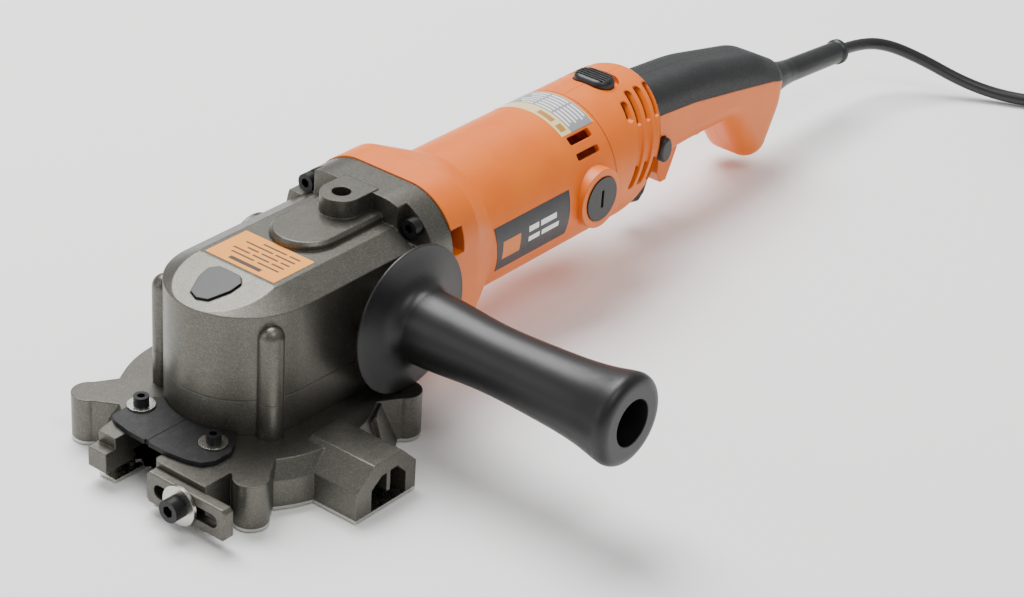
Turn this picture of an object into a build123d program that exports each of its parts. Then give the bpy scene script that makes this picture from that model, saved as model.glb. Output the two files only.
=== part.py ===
from build123d import *
import math
import os

# Rebar cutter: a hand-held disc saw for reinforcing bar. A barrel motor drives a toothed disc
# through a bevel stage and a spur stage in a right-angle gear head.
# Frame, in mm: the disc's spindle axis is Z and the underside of the guard plate is Z = 0.
# The motor axis runs back along +X, and the side handle points to -Y.

os.makedirs("parts", exist_ok=True)

# ---------------------------------------------------------------- driving sizes
FIT = 0.03              # radial running clearance of shafts in bearings and bushes
GAP = 0.35              # free space between pieces that move past each other
SKIN = 0.2              # thickness of a printed label

# cutting disc and guard
BLADE_D = 110.0
BLADE_T = 1.6
BLADE_Z = 4.3           # height of the disc's middle plane
BLADE_BORE = 20.0
BLADE_TEETH = 48
GUARD_H = 22.0          # height of the guard casting's top face
GUARD_R = 60.0          # guard wall, outside
GUARD_TOP_R = 55.5      # flat top of the guard, inside its sloped shoulder
GUARD_SHOULDER_Z = 14.0
GUARD_CAVITY_R = BLADE_D / 2 + 1.8
GUARD_CAVITY_Z = 12.0   # full-width part of the disc chamber
GUARD_ROOF = 4.5
PLATE_T = 1.5           # steel bottom plate
EAR_PITCH = 95.4        # four corner ears, square pattern
EAR_D = 15.6
EAR_SCREW_D = 4.0
EAR_SCREW_L = 12.0

# mouth where the bar goes in, and the chip port
MOUTH_LEFT = 12.8       # Y of the mouth's two sides
MOUTH_RIGHT = -9.5
MOUTH_END_X = -36.0
JAW_X = -66.0           # front faces of the casting's two jaws
RIGHT_JAW_Y = -39.3
LEFT_JAW_Y = 22.6
ANVIL_X = -71.5         # front face of the anvil block under the left jaw
ANVIL_TOP_Z = 16.6
ANVIL_LOW_Z = 7.2
PORT_Y = -80.4
PORT_LEFT_X = -19.6
PORT_RIGHT_X = 17.8
PORT_TOP_Z = 23.6
PORT_SIDE_Z = 14.8

# sliding bar stop on the right jaw
STOP_L = 45.0
STOP_H = 15.0
STOP_T = 4.8
STOP_Z = 4.4
STOP_LEFT_Y = -10.3
STOP_SLOT_W = 6.4
STOP_SLOT_L = 36.0
STOP_SCREW_Y = -30.6
STOP_SCREW_D = 6.0
STOP_THREAD_L = 9.0
STOP_CLEAR = 0.1        # sliding fit of the bar against jaw and washer
STOP_WASHER_D = 18.0
STOP_WASHER_T = 1.6

# rubber flaps over the mouth
FLAP_T = 2.2
FLAP_SCREW_X = -42.7
FLAP_SCREW_Y = 21.2
FLAP_SCREW_D = 4.0
FLAP_WASHER_D = 12.4

# gear head
SPUR_MODULE = 1.5
SPUR_PINION_TEETH = 14
SPUR_GEAR_TEETH = 33
BEVEL_MODULE = 1.4
BEVEL_PINION_TEETH = 11
BEVEL_GEAR_TEETH = 33
BEVEL_FACE = 8.0
MOTOR_Z = 56.2          # height of the motor axis
HEAD_R = 34.3           # round front of the gear head, and half its width
HEAD_CX = -2.4          # centre of the round front
HEAD_WALL = 3.6
SEAM_Z = 38.8           # joint between gearbox base and gear housing
HEAD_EDGE_Z = 78.7      # lower edge of the sloped shoulder
HEAD_TOP_Z = 85.0
HEAD_SHOULDER = 12.0    # how far the shoulder leans in
HEAD_BACK_X = 66.2      # front face of the motor flange
NOSE_X = -7.5           # where the top starts to slope down to the front
RIB_R = 5.7
RIB_RING_R = 34.8
RIB_ANGLE = 62.0
RIB_TOP_Z = 74.5
INT_BOSS_R = 16.0       # boss over the intermediate shaft
INT_BOSS_Z = 88.8
TOP_BOSS_X = 57.0       # boss with the spare handle thread
TOP_BOSS_R = 9.6
TOP_BOSS_Z = 97.3
HANDLE_THREAD_D = 8.5   # core of the M10 handle threads
HANDLE_THREAD_L = 13.0
SIDE_BOSS_X = 49.5
SIDE_BOSS_R = 15.5
SIDE_BOSS_Y = 45.5
FLANGE_X = 85.0         # joint between gear head and motor housing
FLANGE_HALF = 40.6
FLANGE_CORNER = 25.5
FLANGE_SCREW = 30.2     # the four screws, off the motor axis each way
FLANGE_SCREW_D = 5.0
FLANGE_POCKET_X = 72.0
HEAD_SCREW_D = 5.0
HEAD_SCREW_L = 42.0
POST_X = 31.0           # inner posts for the two rear screws of the head
POST_Y = 29.2
POST_R = 4.5
CHAMBER_TOP_Z = 76.0    # roof of the gear chamber
CHAMBER_BACK_X = 60.0
BASE_BACK_X = 61.0

# shafts and bearings
SPINDLE_D = 15.0
SPINDLE_TOP_D = 6.0
SPINDLE_LOW_BRG = (15.0, 35.0, 11.0)    # bore, outside, width
SPINDLE_LOW_BRG_Z = 25.0
SPINDLE_TOP_BRG = (6.0, 19.0, 6.0)
SPINDLE_TOP_BRG_Z = 54.6
SPUR_GEAR_Z = 40.6
SPUR_GEAR_W = 9.0
INT_BRG = (8.0, 22.0, 7.0)
INT_LOW_BRG_Z = 29.0
INT_TOP_BRG_Z = 76.4
INT_SHAFT_D = 11.0
MOTOR_FRONT_BRG = (10.0, 30.0, 9.0)
MOTOR_FRONT_BRG_X = 69.0
MOTOR_REAR_BRG = (8.0, 22.0, 7.0)
MOTOR_REAR_BRG_X = 210.0
FLANGE_RING_R = 16.0    # disc flanges
FLANGE_RING_T = 4.0
LOCK_X = -21.5          # spindle lock button
LOCK_TRAVEL = 5.0
LOCK_PIN_X = -17.5
LOCK_PIN_D = 5.0

# side handle
SH_FLANGE_R = 34.1
SH_LENGTH = 121.0       # guard face to end
SH_NECK_R = 16.9
SH_WAIST_R = 15.0
SH_END_R = 20.6
SH_BORE_R = 10.6
SH_BORE_L = 60.0

# motor
BARREL_R = 35.15
BARREL_WALL = 2.7
COLLAR_HALF = 41.2
COLLAR_CORNER = 26.0
COLLAR_X = 102.0        # end of the square collar
BARREL_X = 121.0        # start of the round barrel
JOINT_X = 211.5         # motor housing to rear housing
STATOR_X = 108.0
STATOR_L = 46.0
ROTOR_R = 20.0
ROTOR_GAP = 0.6
COMMUTATOR_X = 186.0
COMMUTATOR_L = 19.0
COMMUTATOR_R = 13.0
FAN_X = 88.5
FAN_W = 9.0
FAN_R = 31.0
BRUSH_X = 196.0
BRUSH_CAP_R = 11.1
BRUSH_BOSS_R = 14.6
BRUSH_FACE_Y = 38.3

# rear housing and handle
REAR_TOP_X = 265.0      # top of the barrel's slanted rear end
REAR_SLANT = 0.55       # its run in X for each mm of height
HANDLE_HALF = 16.5
HANDLE_ROUND = 10.5
SHELL_WALL = 2.7
GRIP_T = 1.6
VENT_SLANT = 0.5
SLIDE_X = 236.0         # thumb slide on top
SLIDE_SIZE = (14.0, 21.0)
SLIDE_FLOOR_Z = 88.2
SLIDE_TRAVEL = 3.0
TRIGGER_W = 13.0
TRIGGER_PIVOT = (262.0, 45.4)
TRIGGER_PIN_D = 4.0
LOCKON_X = 273.8
LOCKON_Z = 46.8
LOCKON_SIZE = (9.4, 13.0)   # an upright oval
LOCKON_LIP = 1.0        # rim that keeps the button in
GUARD_EXIT_ANGLE = 5.0  # the cord leaves slightly downward
CORD_D = 6.5


# ---------------------------------------------------------------- values worked out
SPUR_CENTRES = SPUR_MODULE * (SPUR_PINION_TEETH + SPUR_GEAR_TEETH) / 2
INT_X = SPUR_CENTRES
BEVEL_PITCH_R = BEVEL_MODULE * BEVEL_GEAR_TEETH / 2
BEVEL_PINION_R = BEVEL_MODULE * BEVEL_PINION_TEETH / 2
BLADE_LOW = BLADE_Z - BLADE_T / 2
BLADE_HIGH = BLADE_Z + BLADE_T / 2
GUARD_CEILING = GUARD_H - GUARD_ROOF
FLAP_TOP = GUARD_H + FLAP_T
STOP_FACE_X = JAW_X - STOP_T
STOP_SCREW_Z = STOP_Z + STOP_H / 2
RIB_X = HEAD_CX - RIB_RING_R * math.cos(math.radians(RIB_ANGLE))
RIB_Y = RIB_RING_R * math.sin(math.radians(RIB_ANGLE))
HEAD_SCREW_SPOTS = [(RIB_X, RIB_Y), (RIB_X, -RIB_Y), (POST_X, POST_Y), (POST_X, -POST_Y)]
EAR_SPOTS = [(x, y) for x in (-EAR_PITCH / 2, EAR_PITCH / 2) for y in (-EAR_PITCH / 2, EAR_PITCH / 2)]
FLANGE_SPOTS = [(y, z) for y in (-FLANGE_SCREW, FLANGE_SCREW) for z in (-FLANGE_SCREW, FLANGE_SCREW)]
BARREL_BORE_R = BARREL_R - BARREL_WALL


# ---------------------------------------------------------------- shared shapes
def outline(*points, mode=Mode.ADD):
    """Add a closed polygon to the current sketch."""
    Polygon(*points, align=None, mode=mode)


def write(block, name):
    """Label a finished piece and write it as its own node."""
    block.part.label = name
    export_step(block.part, f"parts/{name}.step")


def involute(base_r, r):
    """Polar angle of an involute of the base circle at radius r."""
    a = math.acos(min(1.0, base_r / r))
    return math.tan(a) - a


def spur_outline(teeth, module, thinning, start_angle):
    """Points of a spur gear with one tooth centred on start_angle, in degrees."""
    pitch_r = module * teeth / 2
    base_r = pitch_r * math.cos(math.radians(20))
    root_r = pitch_r - 1.2 * module
    tip_r = pitch_r + 0.9 * module
    half = math.pi / (2 * teeth) - thinning / (2 * pitch_r)
    points = []
    for tooth in range(teeth):
        middle = math.radians(start_angle) + 2 * math.pi * tooth / teeth
        flank = []
        for step in range(5):
            r = max(base_r, root_r) + (tip_r - max(base_r, root_r)) * step / 4
            a = half + involute(base_r, pitch_r) - involute(base_r, r)
            flank.append((r, a))
        if root_r < base_r:
            flank.insert(0, (root_r, flank[0][1]))
        points += [(r * math.cos(middle - a), r * math.sin(middle - a)) for r, a in flank]
        points += [(r * math.cos(middle + a), r * math.sin(middle + a)) for r, a in reversed(flank)]
    return points


def spur_blank(teeth, module, thinning, start_angle, plane, width):
    """Add a straight spur gear standing on a plane to the current part."""
    with BuildSketch(plane) as teeth_face:
        outline(*spur_outline(teeth, module, thinning, start_angle))
    extrude(teeth_face.sketch, amount=width)


def bevel_wheel(axis_plane, teeth, mate_teeth, start_angle, back, bore):
    """Add a straight bevel gear to the current part, its cone's apex at the plane's origin."""
    pitch_r = BEVEL_MODULE * teeth / 2
    angle = math.atan2(teeth, mate_teeth)
    outer = pitch_r / math.sin(angle)
    inner = outer - BEVEL_FACE
    addendum = 0.75 * BEVEL_MODULE
    dedendum = 1.05 * BEVEL_MODULE
    half = 0.78 * math.pi * BEVEL_MODULE / 4
    lean = math.tan(math.radians(20))

    def point(cone, up, side):
        s = cone / outer
        r = cone * math.sin(angle) + s * up * math.cos(angle)
        z = cone * math.cos(angle) - s * up * math.sin(angle)
        return (r, s * side, z)

    rim = point(outer, -dedendum, 0)
    tip = point(inner, -dedendum, 0)
    profile_plane = Plane(axis_plane.origin, x_dir=axis_plane.x_dir, z_dir=-axis_plane.y_dir)
    with BuildSketch(profile_plane) as blank:
        outline((bore, tip[2]), (tip[0], tip[2]), (rim[0], rim[2]), (rim[0], back), (bore, back))
    revolve(blank.sketch, axis=Axis(axis_plane.origin, axis_plane.z_dir))
    sections = []
    for cone in (outer, inner):
        corners = [point(cone, -dedendum - 0.25, -half - dedendum * lean),
                   point(cone, addendum, -half + addendum * lean),
                   point(cone, addendum, half - addendum * lean),
                   point(cone, -dedendum - 0.25, half + dedendum * lean)]
        wire = Wire.make_polygon([Vector(*c) for c in corners], close=True)
        sections.append(Face(wire))
    tooth = Solid.make_loft([face.outer_wire() for face in sections], ruled=True)
    turn = 360.0 / teeth
    for i in range(teeth):
        add(axis_plane.location * Rot(0, 0, start_angle + i * turn) * tooth)


def disc(plane, radius, height, mode=Mode.ADD):
    """Add a round solid standing on a plane to the current part, or cut it away."""
    with BuildSketch(plane) as face:
        Circle(radius)
    extrude(face.sketch, amount=height, mode=mode)


def ring(plane, outer_r, inner_r, width, mode=Mode.ADD):
    """Add a plain ring standing on a plane to the current part, or cut it away."""
    with BuildSketch(plane) as face:
        Circle(outer_r)
        Circle(inner_r, mode=Mode.SUBTRACT)
    extrude(face.sketch, amount=width, mode=mode)


def ball_bearing(plane, size):
    """Add a shielded ball bearing: two rings and a recessed shield on each side."""
    bore, outside, width = size
    ring(plane, outside / 2, bore / 2 + FIT, width)
    shield = (outside - bore) / 2 * 0.22
    for side in (plane, plane.offset(width - 0.4)):
        ring(side, outside / 2 - shield, bore / 2 + shield, 0.4, mode=Mode.SUBTRACT)


def cap_screw(plane, d, length):
    """Add a socket cap screw: its head stands on the plane and its shank goes down."""
    disc(plane, 0.85 * d, d)
    disc(plane, d / 2, -length)
    with BuildSketch(plane.offset(d)) as socket:
        RegularPolygon(0.46 * d, 6)
    extrude(socket.sketch, amount=-0.55 * d, mode=Mode.SUBTRACT)


def csk_screw(plane, d, length):
    """Add a countersunk screw whose flat head lies in the plane and whose shank goes down."""
    with BuildSketch(plane) as face:
        Circle(0.95 * d)
    extrude(face.sketch, amount=-0.45 * d, taper=45)
    disc(plane, d / 2, -length)
    with BuildSketch(plane) as socket:
        RegularPolygon(0.4 * d, 6)
    extrude(socket.sketch, amount=-0.35 * d, mode=Mode.SUBTRACT)


def guard_outline(disc_r=0.0):
    """Sketch the guard's outline: ears on their webs, two jaws and, with disc_r, the disc."""
    if disc_r:
        Circle(disc_r)
    reach = EAR_PITCH / math.sqrt(2)
    with GridLocations(EAR_PITCH, EAR_PITCH, 2, 2):
        Circle(EAR_D / 2)
    near = 0.47 * EAR_D
    far = 0.78 * EAR_D
    with PolarLocations(0, 4, start_angle=45):
        outline((reach, -near), (reach, near), (GUARD_TOP_R - 8, far), (GUARD_TOP_R - 8, -far))
    outline((JAW_X, MOUTH_RIGHT), (JAW_X, RIGHT_JAW_Y), (JAW_X + 18, RIGHT_JAW_Y), (-30, -30),
            (-30, MOUTH_RIGHT))
    outline((JAW_X, MOUTH_LEFT), (JAW_X, LEFT_JAW_Y), (JAW_X + 10, LEFT_JAW_Y + 2), (-30, 30),
            (-30, MOUTH_LEFT))


def csk_hole(plane, d, length):
    """Cut the seat and the bore of a countersunk screw into the current part."""
    with BuildSketch(plane) as face:
        Circle(0.95 * d)
    extrude(face.sketch, amount=-0.45 * d, taper=45, mode=Mode.SUBTRACT)
    disc(plane, d / 2, -length, mode=Mode.SUBTRACT)


def head_outline(back_x, wall=0.0):
    """Sketch the gear head in plan: a round front and straight sides."""
    with Locations((HEAD_CX, 0)):
        Circle(HEAD_R - wall)
    with Locations(((HEAD_CX + back_x) / 2, 0)):
        Rectangle(back_x - HEAD_CX, 2 * (HEAD_R - wall))


def upright(x, y, z):
    """Plane at a point, facing up."""
    return Plane((x, y, z))


def facing(x, y, z, direction):
    """Plane at a point, facing a direction."""
    return Plane((x, y, z), z_dir=direction)


# ---------------------------------------------------------------- guard
with BuildPart() as blade_guard:
    with BuildSketch(Plane.XZ):
        with BuildLine():
            Polyline((0, PLATE_T), (GUARD_R, PLATE_T), (GUARD_R, GUARD_SHOULDER_Z), (GUARD_TOP_R, GUARD_H),
                     (0, GUARD_H), close=True)
        make_face()
    revolve(axis=Axis.Z)
    with BuildSketch(Plane.XY.offset(PLATE_T)):
        guard_outline()
    extrude(amount=GUARD_H - PLATE_T)
    # chip port on the right side, standing out of the wall
    with BuildSketch(Plane.XZ.offset(GUARD_CAVITY_R - 12)):
        outline((PORT_LEFT_X, PLATE_T), (PORT_LEFT_X, PORT_SIDE_Z), (PORT_LEFT_X + 11, PORT_TOP_Z),
                (PORT_RIGHT_X - 9, PORT_TOP_Z), (PORT_RIGHT_X, PORT_SIDE_Z), (PORT_RIGHT_X, PLATE_T))
    extrude(amount=-PORT_Y - GUARD_CAVITY_R + 12)
    # gusset between the port and the rear ear
    with BuildSketch(Plane.XY.offset(PLATE_T)):
        outline((PORT_RIGHT_X - 6, -50), (PORT_RIGHT_X, -66), (EAR_PITCH / 2 - 4, -EAR_PITCH / 2 - 1),
                (EAR_PITCH / 2 - 8, -36))
    extrude(amount=GUARD_H - PLATE_T, taper=20)
    # disc chamber
    disc(Plane.XY.offset(PLATE_T), GUARD_CAVITY_R, GUARD_CAVITY_Z - PLATE_T, mode=Mode.SUBTRACT)
    disc(Plane.XY.offset(PLATE_T), GUARD_CAVITY_R - 7, GUARD_CEILING - PLATE_T, mode=Mode.SUBTRACT)
    # mouth through the front
    with BuildSketch(Plane.XY):
        with Locations(((MOUTH_END_X - 100) / 2, (MOUTH_LEFT + MOUTH_RIGHT) / 2)):
            Rectangle(100 + MOUTH_END_X, MOUTH_LEFT - MOUTH_RIGHT)
    extrude(amount=GUARD_H + 1, mode=Mode.SUBTRACT)
    # the disc passes under the left jaw
    with Locations((JAW_X + 7, (MOUTH_LEFT + LEFT_JAW_Y) / 2, PLATE_T)):
        Box(16, LEFT_JAW_Y - MOUTH_LEFT + 5, ANVIL_LOW_Z - PLATE_T, mode=Mode.SUBTRACT,
            align=(Align.CENTER, Align.CENTER, Align.MIN))
    # the port's channel, with a peaked roof and a hanging rib
    with BuildSketch(Plane.XZ.offset(GUARD_CAVITY_R - 14)):
        outline((-10, PLATE_T), (-10, 12), (-4, 16.6), (6, 17.2), (11.6, 11.4), (11.6, PLATE_T))
        with Locations((0.5, 12.6)):
            Rectangle(2.0, 10, mode=Mode.SUBTRACT)
    extrude(amount=60, mode=Mode.SUBTRACT)
    # opening for the spindle and its lower bearing
    disc(Plane.XY.offset(GUARD_CEILING), SPINDLE_LOW_BRG[1] / 2, GUARD_ROOF, mode=Mode.SUBTRACT)
    # anvil block that the bar is cut against
    with Locations(((ANVIL_X + JAW_X) / 2 + 4, (MOUTH_LEFT + LEFT_JAW_Y + 0.6) / 2, ANVIL_LOW_Z)):
        Box(JAW_X - ANVIL_X + 8, LEFT_JAW_Y + 0.6 - MOUTH_LEFT, ANVIL_TOP_Z - ANVIL_LOW_Z,
            align=(Align.CENTER, Align.CENTER, Align.MIN))
    # threads for the flap screws, the stop screw and the four plate screws
    for y in (FLAP_SCREW_Y, -FLAP_SCREW_Y):
        disc(upright(FLAP_SCREW_X, y, GUARD_CEILING - 1), FLAP_SCREW_D / 2, GUARD_ROOF + 1,
             mode=Mode.SUBTRACT)
    disc(facing(JAW_X, STOP_SCREW_Y, STOP_SCREW_Z, (1, 0, 0)), STOP_SCREW_D / 2, STOP_THREAD_L,
         mode=Mode.SUBTRACT)
    for x, y in EAR_SPOTS:
        csk_hole(facing(x, y, 0, (0, 0, -1)), EAR_SCREW_D, EAR_SCREW_L)
    # clearance for the gear head screws
    with BuildSketch(Plane.XY.offset(GUARD_CEILING)):
        with Locations(*HEAD_SCREW_SPOTS):
            Circle(HEAD_SCREW_D / 2 + 0.2)
    extrude(amount=GUARD_ROOF, mode=Mode.SUBTRACT)
    corner = blade_guard.edges().filter_by(Axis.Z).filter_by_position(Axis.X, JAW_X - 0.1, JAW_X + 0.1)
    fillet(corner.filter_by_position(Axis.Y, MOUTH_RIGHT - 0.1, MOUTH_RIGHT + 0.1), radius=3)
write(blade_guard, "blade_guard")

with BuildPart() as guard_plate:
    with BuildSketch(Plane.XY):
        guard_outline(disc_r=GUARD_R)
        with Locations(((PORT_LEFT_X + PORT_RIGHT_X) / 2, (PORT_Y - 40) / 2)):
            Rectangle(PORT_RIGHT_X - PORT_LEFT_X, -PORT_Y - 40)
        with Locations(((MOUTH_END_X - 100) / 2, (MOUTH_LEFT + MOUTH_RIGHT) / 2)):
            Rectangle(100 + MOUTH_END_X, MOUTH_LEFT - MOUTH_RIGHT, mode=Mode.SUBTRACT)
        Circle(FLANGE_RING_R + 1.5, mode=Mode.SUBTRACT)
    extrude(amount=PLATE_T)
    for x, y in EAR_SPOTS:
        csk_hole(facing(x, y, 0, (0, 0, -1)), EAR_SCREW_D, EAR_SCREW_L)
write(guard_plate, "guard_plate")

with BuildPart() as guard_plate_screws:
    for x, y in EAR_SPOTS:
        csk_screw(facing(x, y, 0, (0, 0, -1)), EAR_SCREW_D, EAR_SCREW_L)
write(guard_plate_screws, "guard_plate_screws")

# ---------------------------------------------------------------- mouth: flaps and bar stop
for side, name in ((1, "mouth_flap_left"), (-1, "mouth_flap_right")):
    with BuildPart() as mouth_flap:
        with BuildSketch(Plane.XY.offset(GUARD_H)):
            if side > 0:
                outline((-60.6, 0.1), (-60.3, 11), (-58.8, 20), (-56.6, 24.8), (-38.5, 24.8), (-28, 18),
                        (-28, 0.1))
            else:
                outline((-60.6, -0.1), (-60.6, -12), (-59.2, -21.5), (-56.6, -28), (-51.5, -31),
                        (-42.5, -31), (-36.5, -27.5), (-28, -20), (-28, -0.1))
            fillet(vertices().sort_by(Axis.Y)[-2:] if side > 0 else vertices().sort_by(Axis.Y)[:2], 2.0)
            with Locations((HEAD_CX, 0)):
                Circle(HEAD_R + 0.2, mode=Mode.SUBTRACT)
            with Locations((RIB_X, side * RIB_Y)):
                Circle(RIB_R + 0.2, mode=Mode.SUBTRACT)
            with Locations((-60.6, 0)):
                RegularPolygon(1.8, 3, rotation=180, mode=Mode.SUBTRACT)
            with Locations((FLAP_SCREW_X, side * FLAP_SCREW_Y)):
                Circle(FLAP_SCREW_D / 2, mode=Mode.SUBTRACT)
        extrude(amount=FLAP_T)
    write(mouth_flap, name)

with BuildPart() as flap_washers:
    for y in (FLAP_SCREW_Y, -FLAP_SCREW_Y):
        ring(upright(FLAP_SCREW_X, y, FLAP_TOP), FLAP_WASHER_D / 2, FLAP_SCREW_D / 2, 1.0)
write(flap_washers, "flap_washers")

with BuildPart() as flap_screws:
    for y in (FLAP_SCREW_Y, -FLAP_SCREW_Y):
        cap_screw(upright(FLAP_SCREW_X, y, FLAP_TOP + 1.0), FLAP_SCREW_D, FLAP_T + 1.0 + GUARD_ROOF)
write(flap_screws, "flap_screws")

with BuildPart() as stop_bar:
    with Locations((JAW_X - STOP_CLEAR - STOP_T / 2, STOP_LEFT_Y - STOP_L / 2, STOP_Z + STOP_H / 2)):
        Box(STOP_T, STOP_L, STOP_H)
    chamfer(stop_bar.edges().filter_by(Axis.X), length=1.6)
    with BuildSketch(Plane.YZ.offset(JAW_X + 1)):
        with Locations((STOP_LEFT_Y - STOP_L / 2, STOP_SCREW_Z)):
            SlotOverall(STOP_SLOT_L, STOP_SLOT_W)
    extrude(amount=-STOP_T - 2, mode=Mode.SUBTRACT)
    chamfer(stop_bar.faces().sort_by(Axis.X)[0].outer_wire().edges(), length=0.5)
write(stop_bar, "stop_bar")

STOP_WASHER_X = STOP_FACE_X - 2 * STOP_CLEAR
with BuildPart() as stop_washer:
    ring(facing(STOP_WASHER_X, STOP_SCREW_Y, STOP_SCREW_Z, (-1, 0, 0)), STOP_WASHER_D / 2, STOP_SCREW_D / 2,
         STOP_WASHER_T)
write(stop_washer, "stop_washer")

with BuildPart() as stop_screw:
    cap_screw(facing(STOP_WASHER_X - STOP_WASHER_T, STOP_SCREW_Y, STOP_SCREW_Z, (-1, 0, 0)), STOP_SCREW_D,
              STOP_WASHER_T + STOP_T + 2 * STOP_CLEAR + STOP_THREAD_L - 1)
write(stop_screw, "stop_screw")

# ---------------------------------------------------------------- gearbox castings
with BuildPart() as gearbox_base:
    with BuildSketch(Plane.XY.offset(GUARD_H)):
        head_outline(BASE_BACK_X)
        with Locations(*HEAD_SCREW_SPOTS[:2]):
            Circle(RIB_R)
    extrude(amount=SEAM_Z - GUARD_H)
    disc(upright(0, 0, GUARD_H), SPINDLE_D / 2 + 2, SEAM_Z - GUARD_H, mode=Mode.SUBTRACT)
    disc(upright(0, 0, SPINDLE_LOW_BRG_Z), SPINDLE_LOW_BRG[1] / 2, SEAM_Z - SPINDLE_LOW_BRG_Z,
         mode=Mode.SUBTRACT)
    disc(upright(INT_X, 0, INT_LOW_BRG_Z), INT_BRG[1] / 2, SEAM_Z - INT_LOW_BRG_Z, mode=Mode.SUBTRACT)
    for x, y in HEAD_SCREW_SPOTS:
        disc(upright(x, y, GUARD_H), HEAD_SCREW_D / 2 + 0.2, SEAM_Z - GUARD_H, mode=Mode.SUBTRACT)
write(gearbox_base, "gearbox_base")


def button_outline(grow=0.0):
    """Sketch the spindle lock button: a shield, wide at the back and round at the front."""
    outline((-11.2 + grow, -6.0), (-11.2 + grow, 6.0), (-14.5, 9.4 + grow), (-20.5, 9.0 + grow),
            (-29.5, 5.0 + grow), (-31.2 - grow, 0.0), (-29.5, -5.0 - grow), (-20.5, -9.0 - grow),
            (-14.5, -9.4 - grow))
    fillet(vertices(), 1.5)


LOCK_FLOOR_Z = 72.0     # bottom of the button's pocket
LOCK_BOSS_Z = 69.0
with BuildPart() as gear_housing:
    with BuildSketch(Plane.XY.offset(SEAM_Z)):
        head_outline(HEAD_BACK_X + 4)
    extrude(amount=HEAD_EDGE_Z - SEAM_Z)
    with BuildSketch(Plane.XY.offset(HEAD_EDGE_Z)):
        head_outline(FLANGE_X - 1)
    shoulder_lean = math.degrees(math.atan2(HEAD_SHOULDER, HEAD_TOP_Z - HEAD_EDGE_Z))
    extrude(amount=HEAD_TOP_Z - HEAD_EDGE_Z, taper=shoulder_lean)
    # the top slopes down to the round front
    with BuildSketch(Plane.XZ):
        outline((NOSE_X, HEAD_TOP_Z), (NOSE_X, HEAD_TOP_Z + 9), (HEAD_CX - HEAD_R - 9, HEAD_TOP_Z + 9),
                (HEAD_CX - HEAD_R, HEAD_EDGE_Z))
    extrude(amount=HEAD_R, both=True, mode=Mode.SUBTRACT)
    # ribs over the front screws
    for x, y in HEAD_SCREW_SPOTS[:2]:
        disc(upright(x, y, SEAM_Z), RIB_R, RIB_TOP_Z - RIB_R - SEAM_Z)
        with Locations((x, y, RIB_TOP_Z - RIB_R)):
            Sphere(RIB_R)
    # motor flange
    with BuildSketch(Plane.YZ.offset(HEAD_BACK_X)):
        with Locations((0, MOTOR_Z)):
            RectangleRounded(2 * FLANGE_HALF, 2 * FLANGE_HALF, FLANGE_CORNER)
    extrude(amount=FLANGE_X - HEAD_BACK_X)
    for y, z in FLANGE_SPOTS:
        with BuildSketch(Plane.YZ.offset(HEAD_BACK_X)):
            with Locations((y * (1 + 5 / FLANGE_SCREW), MOTOR_Z + z * (1 + 5 / FLANGE_SCREW))):
                RectangleRounded(22, 22, 6)
        extrude(amount=FLANGE_POCKET_X - HEAD_BACK_X, mode=Mode.SUBTRACT)
    # boss over the intermediate shaft, and the two kinds of handle boss
    with BuildSketch(Plane.XY.offset(HEAD_TOP_Z - 1)):
        with Locations((INT_X, 0)):
            Circle(INT_BOSS_R)
        with Locations(((INT_X + HEAD_BACK_X + 3) / 2, 0)):
            Rectangle(HEAD_BACK_X + 3 - INT_X, 2 * INT_BOSS_R)
    extrude(amount=INT_BOSS_Z - HEAD_TOP_Z - 0.6)
    with BuildSketch(Plane.XY.offset(INT_BOSS_Z - 1.6)):
        with Locations((INT_X, 0)):
            Circle(INT_BOSS_R)
        with Locations(((INT_X + HEAD_BACK_X + 6) / 2, 0)):
            Rectangle(HEAD_BACK_X + 6 - INT_X, 2 * INT_BOSS_R)
    extrude(amount=1.6, taper=40)
    with BuildSketch(Plane.XY.offset(HEAD_TOP_Z)):
        with Locations((TOP_BOSS_X, 0)):
            Circle(TOP_BOSS_R)
        with Locations(((TOP_BOSS_X + HEAD_BACK_X + 4) / 2, 0)):
            Rectangle(HEAD_BACK_X + 4 - TOP_BOSS_X, 2 * TOP_BOSS_R)
    extrude(amount=TOP_BOSS_Z - HEAD_TOP_Z)
    for side in (1, -1):
        disc(facing(SIDE_BOSS_X, side * (HEAD_R - 3), MOTOR_Z, (0, side, 0)), SIDE_BOSS_R,
             SIDE_BOSS_Y - HEAD_R + 3)
    # gear chamber with its two rear screw posts
    with BuildSketch(Plane.XY.offset(SEAM_Z)):
        head_outline(CHAMBER_BACK_X, wall=HEAD_WALL)
        with Locations(*HEAD_SCREW_SPOTS[2:]):
            Circle(POST_R, mode=Mode.SUBTRACT)
    extrude(amount=CHAMBER_TOP_Z - SEAM_Z, mode=Mode.SUBTRACT)
    # column for the spindle's top bearing, cut back round the bevel gear
    disc(upright(0, 0, SPINDLE_TOP_BRG_Z - 1.2), SPINDLE_TOP_BRG[1] / 2 + 3.5,
         CHAMBER_TOP_Z - SPINDLE_TOP_BRG_Z + 1.2)
    disc(upright(INT_X, 0, SPINDLE_TOP_BRG_Z + SPINDLE_TOP_BRG[2] + 0.8), BEVEL_PITCH_R + 2.3,
         CHAMBER_TOP_Z - SPINDLE_TOP_BRG_Z - SPINDLE_TOP_BRG[2] - 0.8, mode=Mode.SUBTRACT)
    disc(upright(0, 0, SPINDLE_TOP_BRG_Z - 1.2), SPINDLE_TOP_BRG[1] / 2, SPINDLE_TOP_BRG[2] + 1.2,
         mode=Mode.SUBTRACT)
    disc(upright(INT_X, 0, CHAMBER_TOP_Z - 1), INT_BRG[1] / 2, INT_TOP_BRG_Z + INT_BRG[2] - CHAMBER_TOP_Z + 1,
         mode=Mode.SUBTRACT)
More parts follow.
